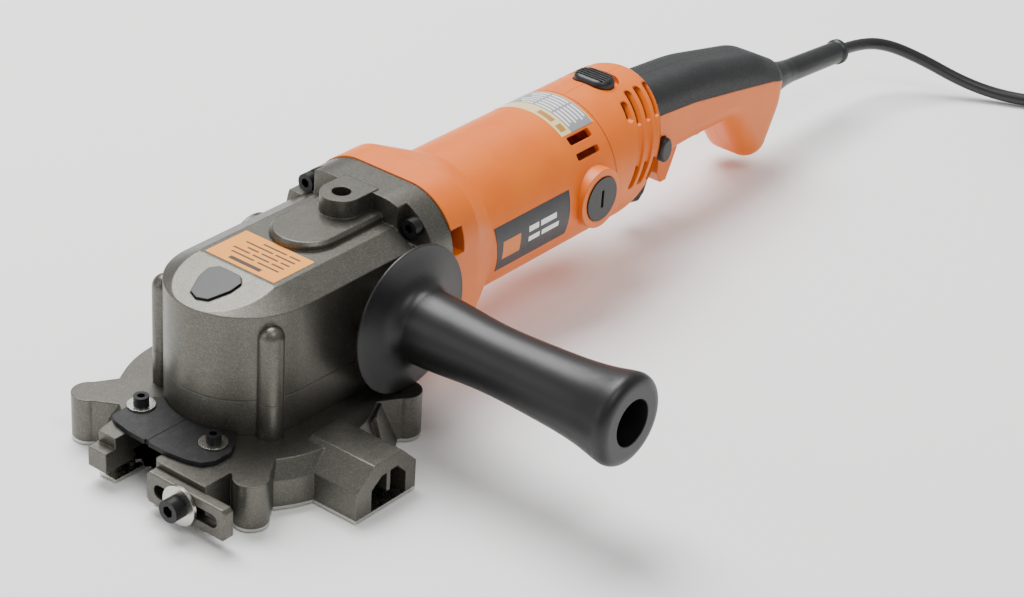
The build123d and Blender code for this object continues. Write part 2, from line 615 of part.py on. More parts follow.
    # spindle lock: a boss under the roof, the button's pocket and the pin's guide
    with BuildSketch(Plane.XY.offset(LOCK_BOSS_Z)):
        with Locations((HEAD_CX, 0)):
            Circle(HEAD_R - HEAD_WALL + 0.5)
        with Locations((20 + LOCK_X / 2 + 9, 0)):
            Rectangle(60, 80, mode=Mode.SUBTRACT)
    extrude(amount=CHAMBER_TOP_Z - LOCK_BOSS_Z)
    with BuildSketch(Plane.XY.offset(LOCK_FLOOR_Z)):
        button_outline(grow=GAP)
    extrude(amount=HEAD_TOP_Z, mode=Mode.SUBTRACT)
    disc(upright(LOCK_PIN_X, 0, LOCK_BOSS_Z - 5), LOCK_PIN_D / 2 + 0.05, 30, mode=Mode.SUBTRACT)
    # motor bore: pinion clearance, front bearing seat and the housing's spigot recess
    disc(facing(CHAMBER_BACK_X - 2, 0, MOTOR_Z, (1, 0, 0)), BEVEL_PINION_R + 3.5, 30, mode=Mode.SUBTRACT)
    disc(facing(MOTOR_FRONT_BRG_X, 0, MOTOR_Z, (1, 0, 0)), MOTOR_FRONT_BRG[1] / 2, 30, mode=Mode.SUBTRACT)
    disc(facing(MOTOR_FRONT_BRG_X + MOTOR_FRONT_BRG[2], 0, MOTOR_Z, (1, 0, 0)), FAN_R + 2, 30,
         mode=Mode.SUBTRACT)
    # screw holes and handle threads
    for x, y in HEAD_SCREW_SPOTS:
        disc(upright(x, y, SEAM_Z), HEAD_SCREW_D / 2, GUARD_CEILING + HEAD_SCREW_L - SEAM_Z,
             mode=Mode.SUBTRACT)
    for y, z in FLANGE_SPOTS:
        disc(facing(FLANGE_POCKET_X, y, MOTOR_Z + z, (1, 0, 0)), FLANGE_SCREW_D / 2, 30, mode=Mode.SUBTRACT)
    disc(facing(TOP_BOSS_X, 0, TOP_BOSS_Z, (0, 0, -1)), HANDLE_THREAD_D / 2, HANDLE_THREAD_L,
         mode=Mode.SUBTRACT)
    for side in (1, -1):
        disc(facing(SIDE_BOSS_X, side * SIDE_BOSS_Y, MOTOR_Z, (0, -side, 0)), HANDLE_THREAD_D / 2,
             HANDLE_THREAD_L, mode=Mode.SUBTRACT)
write(gear_housing, "gear_housing")

with BuildPart() as gearbox_screws:
    for x, y in HEAD_SCREW_SPOTS:
        cap_screw(facing(x, y, GUARD_CEILING, (0, 0, -1)), HEAD_SCREW_D, HEAD_SCREW_L)
write(gearbox_screws, "gearbox_screws")

with BuildPart() as flange_screws:
    for y, z in FLANGE_SPOTS:
        cap_screw(facing(FLANGE_POCKET_X, y, MOTOR_Z + z, (-1, 0, 0)), FLANGE_SCREW_D, 30)
write(flange_screws, "flange_screws")

with BuildPart() as info_label:
    with BuildSketch(Plane.XY.offset(HEAD_TOP_Z)):
        with Locations((6.5, 0)):
            RectangleRounded(25.0, 39.6, 0.6)
        with Locations((INT_X, 0)):
            Circle(INT_BOSS_R + 0.2, mode=Mode.SUBTRACT)
    extrude(amount=SKIN)
write(info_label, "info_label")

with BuildPart() as spindle_lock_button:
    with BuildSketch(Plane.XY.offset(LOCK_FLOOR_Z + LOCK_TRAVEL + 0.3)):
        button_outline()
    extrude(amount=HEAD_TOP_Z - LOCK_FLOOR_Z - LOCK_TRAVEL)
    # its face leans with the slope and stands 1 mm proud
    lean = (HEAD_TOP_Z - HEAD_EDGE_Z) / (NOSE_X - HEAD_CX + HEAD_R)
    with BuildSketch(Plane.XZ):
        outline((0, HEAD_TOP_Z + 1 - lean * NOSE_X), (0, 99), (-60, 99),
                (-60, HEAD_TOP_Z + 1 - lean * (NOSE_X + 60)))
    extrude(amount=HEAD_R, both=True, mode=Mode.SUBTRACT)
    disc(upright(LOCK_PIN_X, 0, SPUR_GEAR_Z + SPUR_GEAR_W + LOCK_TRAVEL + 0.6), LOCK_PIN_D / 2,
         LOCK_FLOOR_Z - SPUR_GEAR_Z - SPUR_GEAR_W)
write(spindle_lock_button, "spindle_lock_button")

# ---------------------------------------------------------------- spindle with the disc
INNER_FLANGE_TOP = BLADE_HIGH + FLANGE_RING_T
SPINDLE_NOSE_D = 12.0
SPINDLE_COLLAR_D = 17.0
SPINDLE_TIP_Z = SPINDLE_TOP_BRG_Z + SPINDLE_TOP_BRG[2] - GAP
BOLT_Z = 0.6            # underside of the disc bolt and the outer flange
BOLT_L = 15.0
with BuildPart() as spindle:
    disc(upright(0, 0, BLADE_LOW + 0.1), SPINDLE_NOSE_D / 2, INNER_FLANGE_TOP - BLADE_LOW - 0.1)
    disc(upright(0, 0, INNER_FLANGE_TOP), SPINDLE_COLLAR_D / 2, SPINDLE_LOW_BRG_Z - GAP - INNER_FLANGE_TOP)
    disc(upright(0, 0, SPINDLE_LOW_BRG_Z - GAP), SPINDLE_D / 2, SPUR_GEAR_Z + SPUR_GEAR_W + 0.6
         - SPINDLE_LOW_BRG_Z + GAP)
    disc(upright(0, 0, SPUR_GEAR_Z + SPUR_GEAR_W), SPINDLE_D / 2 - 2.5, SPINDLE_TOP_BRG_Z - GAP
         - SPUR_GEAR_Z - SPUR_GEAR_W)
    disc(upright(0, 0, SPINDLE_TOP_BRG_Z - 1), SPINDLE_TOP_D / 2, SPINDLE_TIP_Z - SPINDLE_TOP_BRG_Z + 1)
    disc(upright(0, 0, BLADE_LOW), STOP_SCREW_D / 2, BOLT_L, mode=Mode.SUBTRACT)
write(spindle, "spindle")

with BuildPart() as inner_flange:
    disc(upright(0, 0, BLADE_HIGH), FLANGE_RING_R, FLANGE_RING_T)
    disc(upright(0, 0, BLADE_LOW + 0.05), BLADE_BORE / 2, BLADE_T)
    disc(upright(0, 0, BLADE_LOW), SPINDLE_NOSE_D / 2, FLANGE_RING_T + BLADE_T + 1, mode=Mode.SUBTRACT)
    chamfer(inner_flange.edges().group_by(Axis.Z)[-1].sort_by(SortBy.RADIUS)[-1], length=0.8)
write(inner_flange, "inner_flange")

with BuildPart() as outer_flange:
    disc(upright(0, 0, BOLT_Z), FLANGE_RING_R, BLADE_LOW - BOLT_Z)
    csk_hole(facing(0, 0, BOLT_Z, (0, 0, -1)), STOP_SCREW_D, BOLT_L)
    chamfer(outer_flange.edges().group_by(Axis.Z)[0].sort_by(SortBy.RADIUS)[-1], length=0.8)
write(outer_flange, "outer_flange")

with BuildPart() as blade_bolt:
    csk_screw(facing(0, 0, BOLT_Z, (0, 0, -1)), STOP_SCREW_D, BOLT_L)
write(blade_bolt, "blade_bolt")

TOOTH_DEPTH = 2.2
with BuildPart() as blade:
    with BuildSketch(Plane.XY.offset(BLADE_LOW)):
        rim = []
        for tooth in range(BLADE_TEETH):
            for radius, part_turn in ((BLADE_D / 2, 0.0), (BLADE_D / 2 - TOOTH_DEPTH, 0.12),
                                      (BLADE_D / 2 - 0.8 * TOOTH_DEPTH, 0.45)):
                turn = 2 * math.pi * (tooth + part_turn) / BLADE_TEETH
                rim.append((radius * math.cos(turn), radius * math.sin(turn)))
        outline(*rim)
        Circle(BLADE_BORE / 2, mode=Mode.SUBTRACT)
    extrude(amount=BLADE_T)
write(blade, "blade")

# ---------------------------------------------------------------- gears
TEETH_THINNING = 0.35   # backlash of the spur pair
LOCK_HOLES = 6
with BuildPart() as spur_gear:
    spur_blank(SPUR_GEAR_TEETH, SPUR_MODULE, TEETH_THINNING, 0, upright(0, 0, SPUR_GEAR_Z), SPUR_GEAR_W)
    disc(upright(0, 0, SPUR_GEAR_Z), SPINDLE_D / 2, SPUR_GEAR_W, mode=Mode.SUBTRACT)
    # holes for the spindle lock's pin
    with BuildSketch(Plane.XY.offset(SPUR_GEAR_Z)):
        with PolarLocations(-LOCK_PIN_X, LOCK_HOLES):
            Circle(LOCK_PIN_D / 2 + GAP)
    extrude(amount=SPUR_GEAR_W, mode=Mode.SUBTRACT)
write(spur_gear, "spur_gear")

PINION_SPARE = 0.5      # the pinion is wider than its gear on each side
with BuildPart() as spur_pinion:
    spur_blank(SPUR_PINION_TEETH, SPUR_MODULE, TEETH_THINNING, 180.0 / SPUR_PINION_TEETH,
               upright(INT_X, 0, SPUR_GEAR_Z - PINION_SPARE), SPUR_GEAR_W + 2 * PINION_SPARE)
    disc(upright(INT_X, 0, SPUR_GEAR_Z - PINION_SPARE), INT_SHAFT_D / 2, SPUR_GEAR_W + 2 * PINION_SPARE,
         mode=Mode.SUBTRACT)
write(spur_pinion, "spur_pinion")

BEVEL_BACK = 14.0       # back of the bevel gear, above the motor axis
with BuildPart() as intermediate_shaft:
    disc(upright(INT_X, 0, INT_LOW_BRG_Z + GAP), INT_BRG[0] / 2, INT_TOP_BRG_Z + INT_BRG[2] - INT_LOW_BRG_Z
         - 2 * GAP)
    disc(upright(INT_X, 0, INT_LOW_BRG_Z + INT_BRG[2] + GAP), INT_SHAFT_D / 2, INT_TOP_BRG_Z
         - INT_LOW_BRG_Z - INT_BRG[2] - 2 * GAP)
write(intermediate_shaft, "intermediate_shaft")

with BuildPart() as bevel_gear:
    bevel_wheel(Plane((INT_X, 0, MOTOR_Z)), BEVEL_GEAR_TEETH, BEVEL_PINION_TEETH,
                180.0 / BEVEL_GEAR_TEETH, BEVEL_BACK, INT_SHAFT_D / 2)
write(bevel_gear, "bevel_gear")

PINION_BACK = BEVEL_PITCH_R + 3.0
PINION_BORE_D = 6.0
with BuildPart() as bevel_pinion:
    bevel_wheel(Plane((INT_X, 0, MOTOR_Z), x_dir=(0, 0, 1), z_dir=(1, 0, 0)), BEVEL_PINION_TEETH,
                BEVEL_GEAR_TEETH, 0, PINION_BACK, PINION_BORE_D / 2)
write(bevel_pinion, "bevel_pinion")

with BuildPart() as spindle_bearings:
    ball_bearing(upright(0, 0, SPINDLE_LOW_BRG_Z), SPINDLE_LOW_BRG)
    ball_bearing(upright(0, 0, SPINDLE_TOP_BRG_Z), SPINDLE_TOP_BRG)
write(spindle_bearings, "spindle_bearings")

with BuildPart() as intermediate_bearings:
    ball_bearing(upright(INT_X, 0, INT_LOW_BRG_Z), INT_BRG)
    ball_bearing(upright(INT_X, 0, INT_TOP_BRG_Z), INT_BRG)
write(intermediate_bearings, "intermediate_bearings")


def motor_plane(x):
    """Plane across the motor axis, facing back."""
    return facing(x, 0, MOTOR_Z, (1, 0, 0))


with BuildPart() as motor_bearings:
    ball_bearing(motor_plane(MOTOR_FRONT_BRG_X), MOTOR_FRONT_BRG)
    ball_bearing(motor_plane(MOTOR_REAR_BRG_X), MOTOR_REAR_BRG)
write(motor_bearings, "motor_bearings")

# ---------------------------------------------------------------- side handle
STUD_BODY_L = 40.0
with BuildPart() as side_handle:
    with BuildSketch(Plane((SIDE_BOSS_X, -SIDE_BOSS_Y, MOTOR_Z), x_dir=(1, 0, 0), z_dir=(0, 0, 1))):
        with BuildLine():
            lip = Polyline((0, 0), (SH_FLANGE_R - 3, 0), (SH_FLANGE_R, -1.6), (SH_FLANGE_R, -2.6))
            skirt = Spline((SH_FLANGE_R, -2.6), (SH_FLANGE_R - 9, -4.6), (SH_NECK_R, -12.0),
                           tangents=[(-1, -0.1), (-0.1, -1)])
            waist = Spline((SH_NECK_R, -12.0), (SH_WAIST_R, -45.0), (SH_WAIST_R + 0.6, -75.0),
                           (SH_END_R - 1.6, -108.0), (SH_END_R, -SH_LENGTH + 5),
                           tangents=[(0, -1), (0.12, -1)])
            end = Spline((SH_END_R, -SH_LENGTH + 5), (SH_END_R - 2, -SH_LENGTH + 0.8),
                         (SH_END_R - 5, -SH_LENGTH), tangents=[(0, -1), (-1, 0)])
            Polyline((SH_END_R - 5, -SH_LENGTH), (0, -SH_LENGTH), (0, 0))
        make_face()
    revolve(axis=Axis((SIDE_BOSS_X, 0, MOTOR_Z), (0, 1, 0)))
    disc(facing(SIDE_BOSS_X, -SIDE_BOSS_Y - SH_LENGTH, MOTOR_Z, (0, 1, 0)), SH_BORE_R, SH_BORE_L,
         mode=Mode.SUBTRACT)
    disc(facing(SIDE_BOSS_X, -SIDE_BOSS_Y, MOTOR_Z, (0, -1, 0)), HANDLE_THREAD_D / 2, STUD_BODY_L,
         mode=Mode.SUBTRACT)
write(side_handle, "side_handle")

with BuildPart() as side_handle_stud:
    disc(facing(SIDE_BOSS_X, -SIDE_BOSS_Y + HANDLE_THREAD_L - 1, MOTOR_Z, (0, -1, 0)), HANDLE_THREAD_D / 2,
         HANDLE_THREAD_L - 1 + STUD_BODY_L)
    chamfer(side_handle_stud.edges(), length=0.8)
write(side_handle_stud, "side_handle_stud")

# ---------------------------------------------------------------- motor housing
BRIDGE_X = 206.5        # spider that carries the rear bearing
BEARING_BOSS_R = 14.5
SPIGOT_L = 5.0          # inner ring that centres the rear housing
BRUSH_TUBE_R = 7.5
BRUSH_TUBE_Y = (15.0, 33.0)
VENTS = ((40.5, 4.3), (54.3, 3.4))      # angle from the top, width
VENT_X = 196.0
VENT_L = 16.0
with BuildPart() as motor_housing:
    with BuildSketch(Plane.YZ.offset(FLANGE_X)):
        with Locations((0, MOTOR_Z)):
            RectangleRounded(2 * COLLAR_HALF, 2 * COLLAR_HALF, COLLAR_CORNER)
    extrude(amount=COLLAR_X - FLANGE_X)
    with BuildSketch(Plane.YZ.offset(COLLAR_X)):
        with Locations((0, MOTOR_Z)):
            RectangleRounded(2 * COLLAR_HALF, 2 * COLLAR_HALF, COLLAR_CORNER)
    with BuildSketch(Plane.YZ.offset(BARREL_X)):
        with Locations((0, MOTOR_Z)):
            RectangleRounded(2 * BARREL_R, 2 * BARREL_R, BARREL_R - 0.02)
    loft()
    disc(motor_plane(BARREL_X), BARREL_R, JOINT_X - BARREL_X)
    for side in (1, -1):
        disc(facing(BRUSH_X, side * 20, MOTOR_Z, (0, side, 0)), BRUSH_BOSS_R, BRUSH_FACE_Y - 20)
    disc(motor_plane(FLANGE_X), BARREL_BORE_R, BRIDGE_X - FLANGE_X, mode=Mode.SUBTRACT)
    disc(motor_plane(BRIDGE_X), BARREL_BORE_R, JOINT_X - BRIDGE_X, mode=Mode.SUBTRACT)
    # spider and rear bearing seat
    with BuildSketch(motor_plane(BRIDGE_X)):
        Rectangle(2 * BARREL_R - 1, 8)
        Rectangle(8, 2 * BARREL_R - 1)
    extrude(amount=JOINT_X - BRIDGE_X)
    disc(motor_plane(BRIDGE_X), BEARING_BOSS_R, MOTOR_REAR_BRG_X + MOTOR_REAR_BRG[2] + 1 - BRIDGE_X)
    disc(motor_plane(BRIDGE_X), MOTOR_REAR_BRG[0] / 2 + 1.5, 30, mode=Mode.SUBTRACT)
    disc(motor_plane(MOTOR_REAR_BRG_X), MOTOR_REAR_BRG[1] / 2, 30, mode=Mode.SUBTRACT)
    ring(motor_plane(JOINT_X - 4), BARREL_BORE_R, BARREL_BORE_R - 1.8, SPIGOT_L + 4)
    for side in (1, -1):
        # brush tube inside, cap seat outside
        tube = facing(BRUSH_X, side * (BRUSH_TUBE_Y[0] + 7), MOTOR_Z, (0, side, 0))
        disc(tube, BRUSH_TUBE_R + 2.5, 12)
        disc(tube, BRUSH_TUBE_R, 30, mode=Mode.SUBTRACT)
        disc(facing(BRUSH_X, side * (BRUSH_FACE_Y - 3), MOTOR_Z, (0, side, 0)), BRUSH_CAP_R, 10,
             mode=Mode.SUBTRACT)
        for angle, width in VENTS:
            lean = math.radians(angle)
            out = (0, side * math.sin(lean), math.cos(lean))
            start = Vector(VENT_X, 0, MOTOR_Z) + Vector(*out) * (BARREL_BORE_R - 2)
            with BuildSketch(Plane(start, x_dir=(1, 0, 0), z_dir=out)):
                RectangleRounded(VENT_L, width, 0.8)
            extrude(amount=BARREL_WALL + 4, mode=Mode.SUBTRACT)
        # fan exhaust beside the gear head
        with Locations((FLANGE_X + 3.5, side * 37, MOTOR_Z + 19.8)):
            Box(7, 20, 12, mode=Mode.SUBTRACT)
    for y, z in FLANGE_SPOTS:
        disc(facing(FLANGE_X, y, MOTOR_Z + z, (1, 0, 0)), FLANGE_SCREW_D / 2, COLLAR_X + 1 - FLANGE_X,
             mode=Mode.SUBTRACT)
write(motor_housing, "motor_housing")

PLATE_X = (122.0, 176.0)
with BuildPart() as name_plate:
    ring(motor_plane(PLATE_X[0]), BARREL_R + SKIN, BARREL_R, PLATE_X[1] - PLATE_X[0])
    with BuildSketch(Plane.XZ.offset(20)):
        outline((PLATE_X[0] + 3, 43.5), (PLATE_X[1], 43.5), (PLATE_X[1], 66.5), (PLATE_X[0], 66.5))
    extrude(amount=30, mode=Mode.INTERSECT)
write(name_plate, "name_plate")

LABEL_X = (186.0, 209.5)
with BuildPart() as warning_label:
    ring(motor_plane(LABEL_X[0]), BARREL_R + SKIN, BARREL_R, LABEL_X[1] - LABEL_X[0])
    with BuildSketch(motor_plane(LABEL_X[0])):
        half = 2 * BARREL_R * math.tan(math.radians(35))
        wedge = Plane(motor_plane(0).origin, x_dir=motor_plane(0).x_dir, z_dir=(1, 0, 0))
        up = wedge.to_local_coords(Vector(0, 0, MOTOR_Z + 2 * BARREL_R))
        right = wedge.to_local_coords(Vector(0, half, MOTOR_Z + 2 * BARREL_R))
        left = wedge.to_local_coords(Vector(0, -half, MOTOR_Z + 2 * BARREL_R))
        outline((0, 0), (right.X, right.Y), (left.X, left.Y))
    extrude(amount=LABEL_X[1] - LABEL_X[0], mode=Mode.INTERSECT)
write(warning_label, "warning_label")

# ---------------------------------------------------------------- motor
ROTOR_SLOTS = 12
SHAFT_R = 6.0
with BuildPart() as armature_shaft:
    disc(motor_plane(INT_X + BEVEL_PITCH_R - BEVEL_FACE), PINION_BORE_D / 2, 20)
    disc(motor_plane(INT_X + PINION_BACK), MOTOR_FRONT_BRG[0] / 2, FAN_X + FAN_W - INT_X - PINION_BACK)
    disc(motor_plane(FAN_X + FAN_W), SHAFT_R, COMMUTATOR_X + COMMUTATOR_L - FAN_X - FAN_W)
    disc(motor_plane(COMMUTATOR_X + COMMUTATOR_L), MOTOR_REAR_BRG[0] / 2,
         MOTOR_REAR_BRG_X + MOTOR_REAR_BRG[2] - COMMUTATOR_X - COMMUTATOR_L)
write(armature_shaft, "armature_shaft")

with BuildPart() as armature_core:
    with BuildSketch(motor_plane(STATOR_X)):
        Circle(ROTOR_R)
        Circle(SHAFT_R, mode=Mode.SUBTRACT)
        with PolarLocations(ROTOR_R - 3.5, ROTOR_SLOTS):
            Rectangle(8, 3, mode=Mode.SUBTRACT)
    extrude(amount=STATOR_L)
write(armature_core, "armature_core")

with BuildPart() as armature_windings:
    with BuildSketch(motor_plane(STATOR_X)):
        with PolarLocations(ROTOR_R - 4.5, ROTOR_SLOTS):
            Rectangle(5.8, 2.8)
    extrude(amount=STATOR_L)
    ring(motor_plane(STATOR_X - 8), ROTOR_R - 2, SHAFT_R, 8)
    ring(motor_plane(STATOR_X + STATOR_L), ROTOR_R - 2, SHAFT_R, 13)
    ring(motor_plane(STATOR_X + STATOR_L + 13), ROTOR_R - 7, SHAFT_R, COMMUTATOR_X - STATOR_X - STATOR_L - 13)
write(armature_windings, "armature_windings")

with BuildPart() as commutator:
    with BuildSketch(motor_plane(COMMUTATOR_X)):
        Circle(COMMUTATOR_R)
        Circle(SHAFT_R, mode=Mode.SUBTRACT)
        with PolarLocations(COMMUTATOR_R - 0.3, 2 * ROTOR_SLOTS):
            Rectangle(1.2, 0.5, mode=Mode.SUBTRACT)
    extrude(amount=COMMUTATOR_L)
write(commutator, "commutator")

FAN_BLADES = 14
with BuildPart() as fan:
    ring(motor_plane(FAN_X), FAN_R, MOTOR_FRONT_BRG[0] / 2, 2)
    ring(motor_plane(FAN_X), 10, MOTOR_FRONT_BRG[0] / 2, FAN_W)
    with BuildSketch(motor_plane(FAN_X + 2)):
        with PolarLocations((FAN_R + 14) / 2, FAN_BLADES):
            Rectangle(FAN_R - 15, 1.8, rotation=24)
    extrude(amount=FAN_W - 2)
write(fan, "fan")

POLE_IN = ROTOR_R + ROTOR_GAP
POLE_OUT = POLE_IN + 2.6
YOKE_IN = 28.5
NECK_W = 24.0
FLAT_HALF = 30.5        # the stator has a flat at each side
COIL_OVERHANG = 8.0


def pole_sectors(inner_r, outer_r, half_angle):
    """Sketch the parts of a ring that lie within an angle of the top and of the bottom."""
    Circle(outer_r)
    Circle(inner_r, mode=Mode.SUBTRACT)
    reach = 2 * outer_r
    drop = reach * math.tan(math.radians(90 - half_angle))
    for side in (1, -1):
        outline((0, 0), (side * reach, drop), (side * reach, -drop), mode=Mode.SUBTRACT)


POLE_PLANE = Plane((STATOR_X, 0, MOTOR_Z), x_dir=(0, 1, 0), z_dir=(1, 0, 0))
with BuildPart() as stator_core:
    with BuildSketch(POLE_PLANE):
        Circle(BARREL_BORE_R)
        Rectangle(2 * FLAT_HALF, 2 * BARREL_R, mode=Mode.INTERSECT)
        Circle(YOKE_IN, mode=Mode.SUBTRACT)
    extrude(amount=STATOR_L)
    with BuildSketch(POLE_PLANE):
        pole_sectors(POLE_IN, POLE_OUT, 58)
    extrude(amount=STATOR_L)
    with BuildSketch(POLE_PLANE):
        Rectangle(NECK_W, 2 * YOKE_IN + 2)
        Circle(POLE_IN, mode=Mode.SUBTRACT)
    extrude(amount=STATOR_L)
write(stator_core, "stator_core")

with BuildPart() as field_coils:
    with BuildSketch(POLE_PLANE.offset(-COIL_OVERHANG)):
        pole_sectors(POLE_OUT + 0.1, YOKE_IN - 0.1, 55)
    extrude(amount=STATOR_L + 2 * COIL_OVERHANG)
    with BuildSketch(POLE_PLANE):
        Rectangle(NECK_W, 2 * BARREL_R)
    extrude(amount=STATOR_L, mode=Mode.SUBTRACT)
write(field_coils, "field_coils")

with BuildPart() as brush_caps:
    for side in (1, -1):
        seat = facing(BRUSH_X, side * (BRUSH_FACE_Y - 3), MOTOR_Z, (0, side, 0))
        disc(seat, BRUSH_CAP_R - 0.15, 3.6)
        disc(seat, BRUSH_TUBE_R, BRUSH_TUBE_Y[1] - BRUSH_FACE_Y + 3)
        with Locations((BRUSH_X, side * (BRUSH_FACE_Y + 0.6), MOTOR_Z)):
            Box(1.8, 3.0, 9.0, mode=Mode.SUBTRACT)
write(brush_caps, "brush_caps")

BRUSH_SECTION = (5.0, 9.0)
with BuildPart() as brush_holders:
    for side in (1, -1):
        tube = facing(BRUSH_X, side * BRUSH_TUBE_Y[0], MOTOR_Z, (0, side, 0))
        disc(tube, BRUSH_TUBE_R, BRUSH_TUBE_Y[1] - BRUSH_TUBE_Y[0])
        with Locations((BRUSH_X, side * (BRUSH_TUBE_Y[0] + BRUSH_TUBE_Y[1]) / 2, MOTOR_Z)):
            Box(BRUSH_SECTION[0], 30, BRUSH_SECTION[1], mode=Mode.SUBTRACT)
write(brush_holders, "brush_holders")

with BuildPart() as carbon_brushes:
    for side in (1, -1):
        with Locations((BRUSH_X, side * 20, MOTOR_Z)):
            Box(BRUSH_SECTION[0], 16, BRUSH_SECTION[1])
    disc(motor_plane(COMMUTATOR_X), COMMUTATOR_R + FIT, COMMUTATOR_L, mode=Mode.SUBTRACT)
write(carbon_brushes, "carbon_brushes")

# ---------------------------------------------------------------- rear housing and handle
HANDLE_FRONT_X = 226.0
HANDLE_LINE = [     # side view of the handle: x, z and the rounding of that corner
    (HANDLE_FRONT_X, 84.6, 0), (312, 77.4, 150), (364, 66, 40), (387, 54, 14), (385, 34, 24),
    (371.5, 8, 11), (359, 8, 11), (337, 38, 8), (302, 38.5, 60), (HANDLE_FRONT_X, 36, 0)]
GRIP_LINE = [(250, 67.5), (300, 63), (336, 57), (370, 51), (406, 41)]
RIM_ROUND = 5.0         # rounding of the barrel's slanted end
END_WALL = 3.0
GRIP_INSET = 4.2        # hollow of the handle, in from the side view's outline


def rear_x(z, back=0.0):
    """X of the barrel's slanted end at a height."""
    return REAR_TOP_X - back - REAR_SLANT * (MOTOR_Z + BARREL_R - z)


def lockon_oval(y, grow, depth, mode=Mode.ADD):
    """Extrude the lock-on button's oval inward from a height on Y."""
    with BuildSketch(Plane((LOCKON_X, y, LOCKON_Z), x_dir=(1, 0, 0), z_dir=(0, 1, 0))) as oval:
        Ellipse(LOCKON_SIZE[0] / 2 + grow, LOCKON_SIZE[1] / 2 + grow)
    extrude(oval.sketch, amount=depth, mode=mode)


def trigger_pin_rod(mode=Mode.ADD):
    """Add the trigger's pin, from wall to wall, or cut its seats."""
    reach = HANDLE_HALF - SHELL_WALL
    disc(facing(TRIGGER_PIVOT[0], -reach, TRIGGER_PIVOT[1], (0, 1, 0)), TRIGGER_PIN_D / 2, 2 * reach, mode=mode)


def handle_outline(inset=0.0):
    """Sketch the handle's side view, drawn in by the inset."""
    outline(*[(x, z) for x, z, corner in HANDLE_LINE])
    for x, z, corner in HANDLE_LINE:
        if corner:
            fillet(vertices().sort_by_distance((x, z))[0], radius=corner)
    if inset:
        offset(amount=-inset, mode=Mode.REPLACE)


def handle_solid(inset, depth, rounding):
    """Add the handle's body to the current part, drawn in by the inset and the depth."""
    with BuildSketch(Plane.XZ) as side_view:
        handle_outline(inset)
    half = HANDLE_HALF - depth
    block = extrude(side_view.sketch, amount=half, both=True, mode=Mode.PRIVATE)
    rims = block.faces().filter_by(Axis.Y).edges().filter_by(
        lambda edge: edge.center().X > HANDLE_FRONT_X + 6)
    add(block.fillet(rounding, rims))


with BuildPart() as handle_body:
    handle_solid(0, 0, HANDLE_ROUND)

with BuildPart() as handle_core:
    handle_solid(GRIP_T, GRIP_T, HANDLE_ROUND - GRIP_T)

with BuildPart() as handle_hollow:
    handle_solid(GRIP_INSET, SHELL_WALL, 6.0)

with BuildPart() as rear_barrel:
    disc(motor_plane(JOINT_X + GAP), BARREL_R, 80)
    with BuildSketch(Plane.XZ):
        outline((rear_x(0), 0), (rear_x(120), 120), (400, 120), (400, 0))
    extrude(amount=BARREL_R + 1, both=True, mode=Mode.SUBTRACT)
    fillet(rear_barrel.edges().filter_by(GeomType.ELLIPSE), radius=RIM_ROUND)

with BuildPart() as rear_hollow:
    disc(motor_plane(JOINT_X), BARREL_BORE_R, 80)
    with BuildSketch(Plane.XZ):
        outline((rear_x(0, END_WALL), 0), (rear_x(120, END_WALL), 120), (400, 120), (400, 0))
    extrude(amount=BARREL_R + 1, both=True, mode=Mode.SUBTRACT)

# the soft grip covers the handle above a line
with BuildPart() as grip_skin:
    add(handle_body.part)
    add(handle_core.part, mode=Mode.SUBTRACT)
    with BuildSketch(Plane.XZ):
        outline(*GRIP_LINE, (430, 41), (430, 120), (rear_x(120) + GAP, 120),
                (rear_x(GRIP_LINE[0][1]) + GAP, GRIP_LINE[0][1]))
    extrude(amount=HANDLE_HALF + 1, both=True, mode=Mode.INTERSECT)

# vents: slanted slots through the barrel, with a shallow groove between upper and lower
VENT_W = 4.4
VENT_TOPS = (240.0, 247.0, 254.0)       # X of each slot at the upper slots' top
VENT_TOP_Z = 88.0
SHORT_VENT = (233.6, 79.0, 86.0)        # the first upper slot is short and has no lower one
VENT_LOW = (50.0, 60.0)
VENT_HIGH = 76.0


def vent_slab(top_x, low_z, high_z):
    """Sketch one slanted slot between two heights."""
    low_x = top_x + VENT_SLANT * (low_z - VENT_TOP_Z)
    high_x = top_x + VENT_SLANT * (high_z - VENT_TOP_Z)
    outline((low_x, low_z), (low_x + VENT_W, low_z), (high_x + VENT_W, high_z), (high_x, high_z))
    fillet(vertices().sort_by_distance((low_x + VENT_W / 2, low_z))[:2], radius=1.2)
    fillet(vertices().sort_by_distance((high_x + VENT_W / 2, high_z))[:2], radius=1.2)


with BuildPart() as vents:
    slots = [(SHORT_VENT[0], SHORT_VENT[1], SHORT_VENT[2])]
    for top_x in VENT_TOPS:
        slots.append((top_x, VENT_HIGH, VENT_TOP_Z))
        slots.append((top_x, VENT_LOW[0], VENT_LOW[1]))
    for slot in slots:
        with BuildSketch(Plane.XZ):
            vent_slab(*slot)
        extrude(amount=BARREL_R + 1, both=True)
    # the slots end short of the handle's middle
    with Locations((300, 0, MOTOR_Z)):
        Box(300, 20, 200, mode=Mode.SUBTRACT)

with BuildPart() as grooves:
    for top_x in VENT_TOPS:
        with BuildSketch(Plane.XZ):
            vent_slab(top_x, VENT_LOW[1] - 2, VENT_HIGH + 2)
        extrude(amount=BARREL_R + 1, both=True)
    disc(motor_plane(JOINT_X), BARREL_R - 0.9, 100, mode=Mode.SUBTRACT)

# trigger opening and its rear guard
TRIGGER_SLOT = (255.5, 285.2)
NUB_X = (285.2, 296.5)
NUB_Z = 19.5

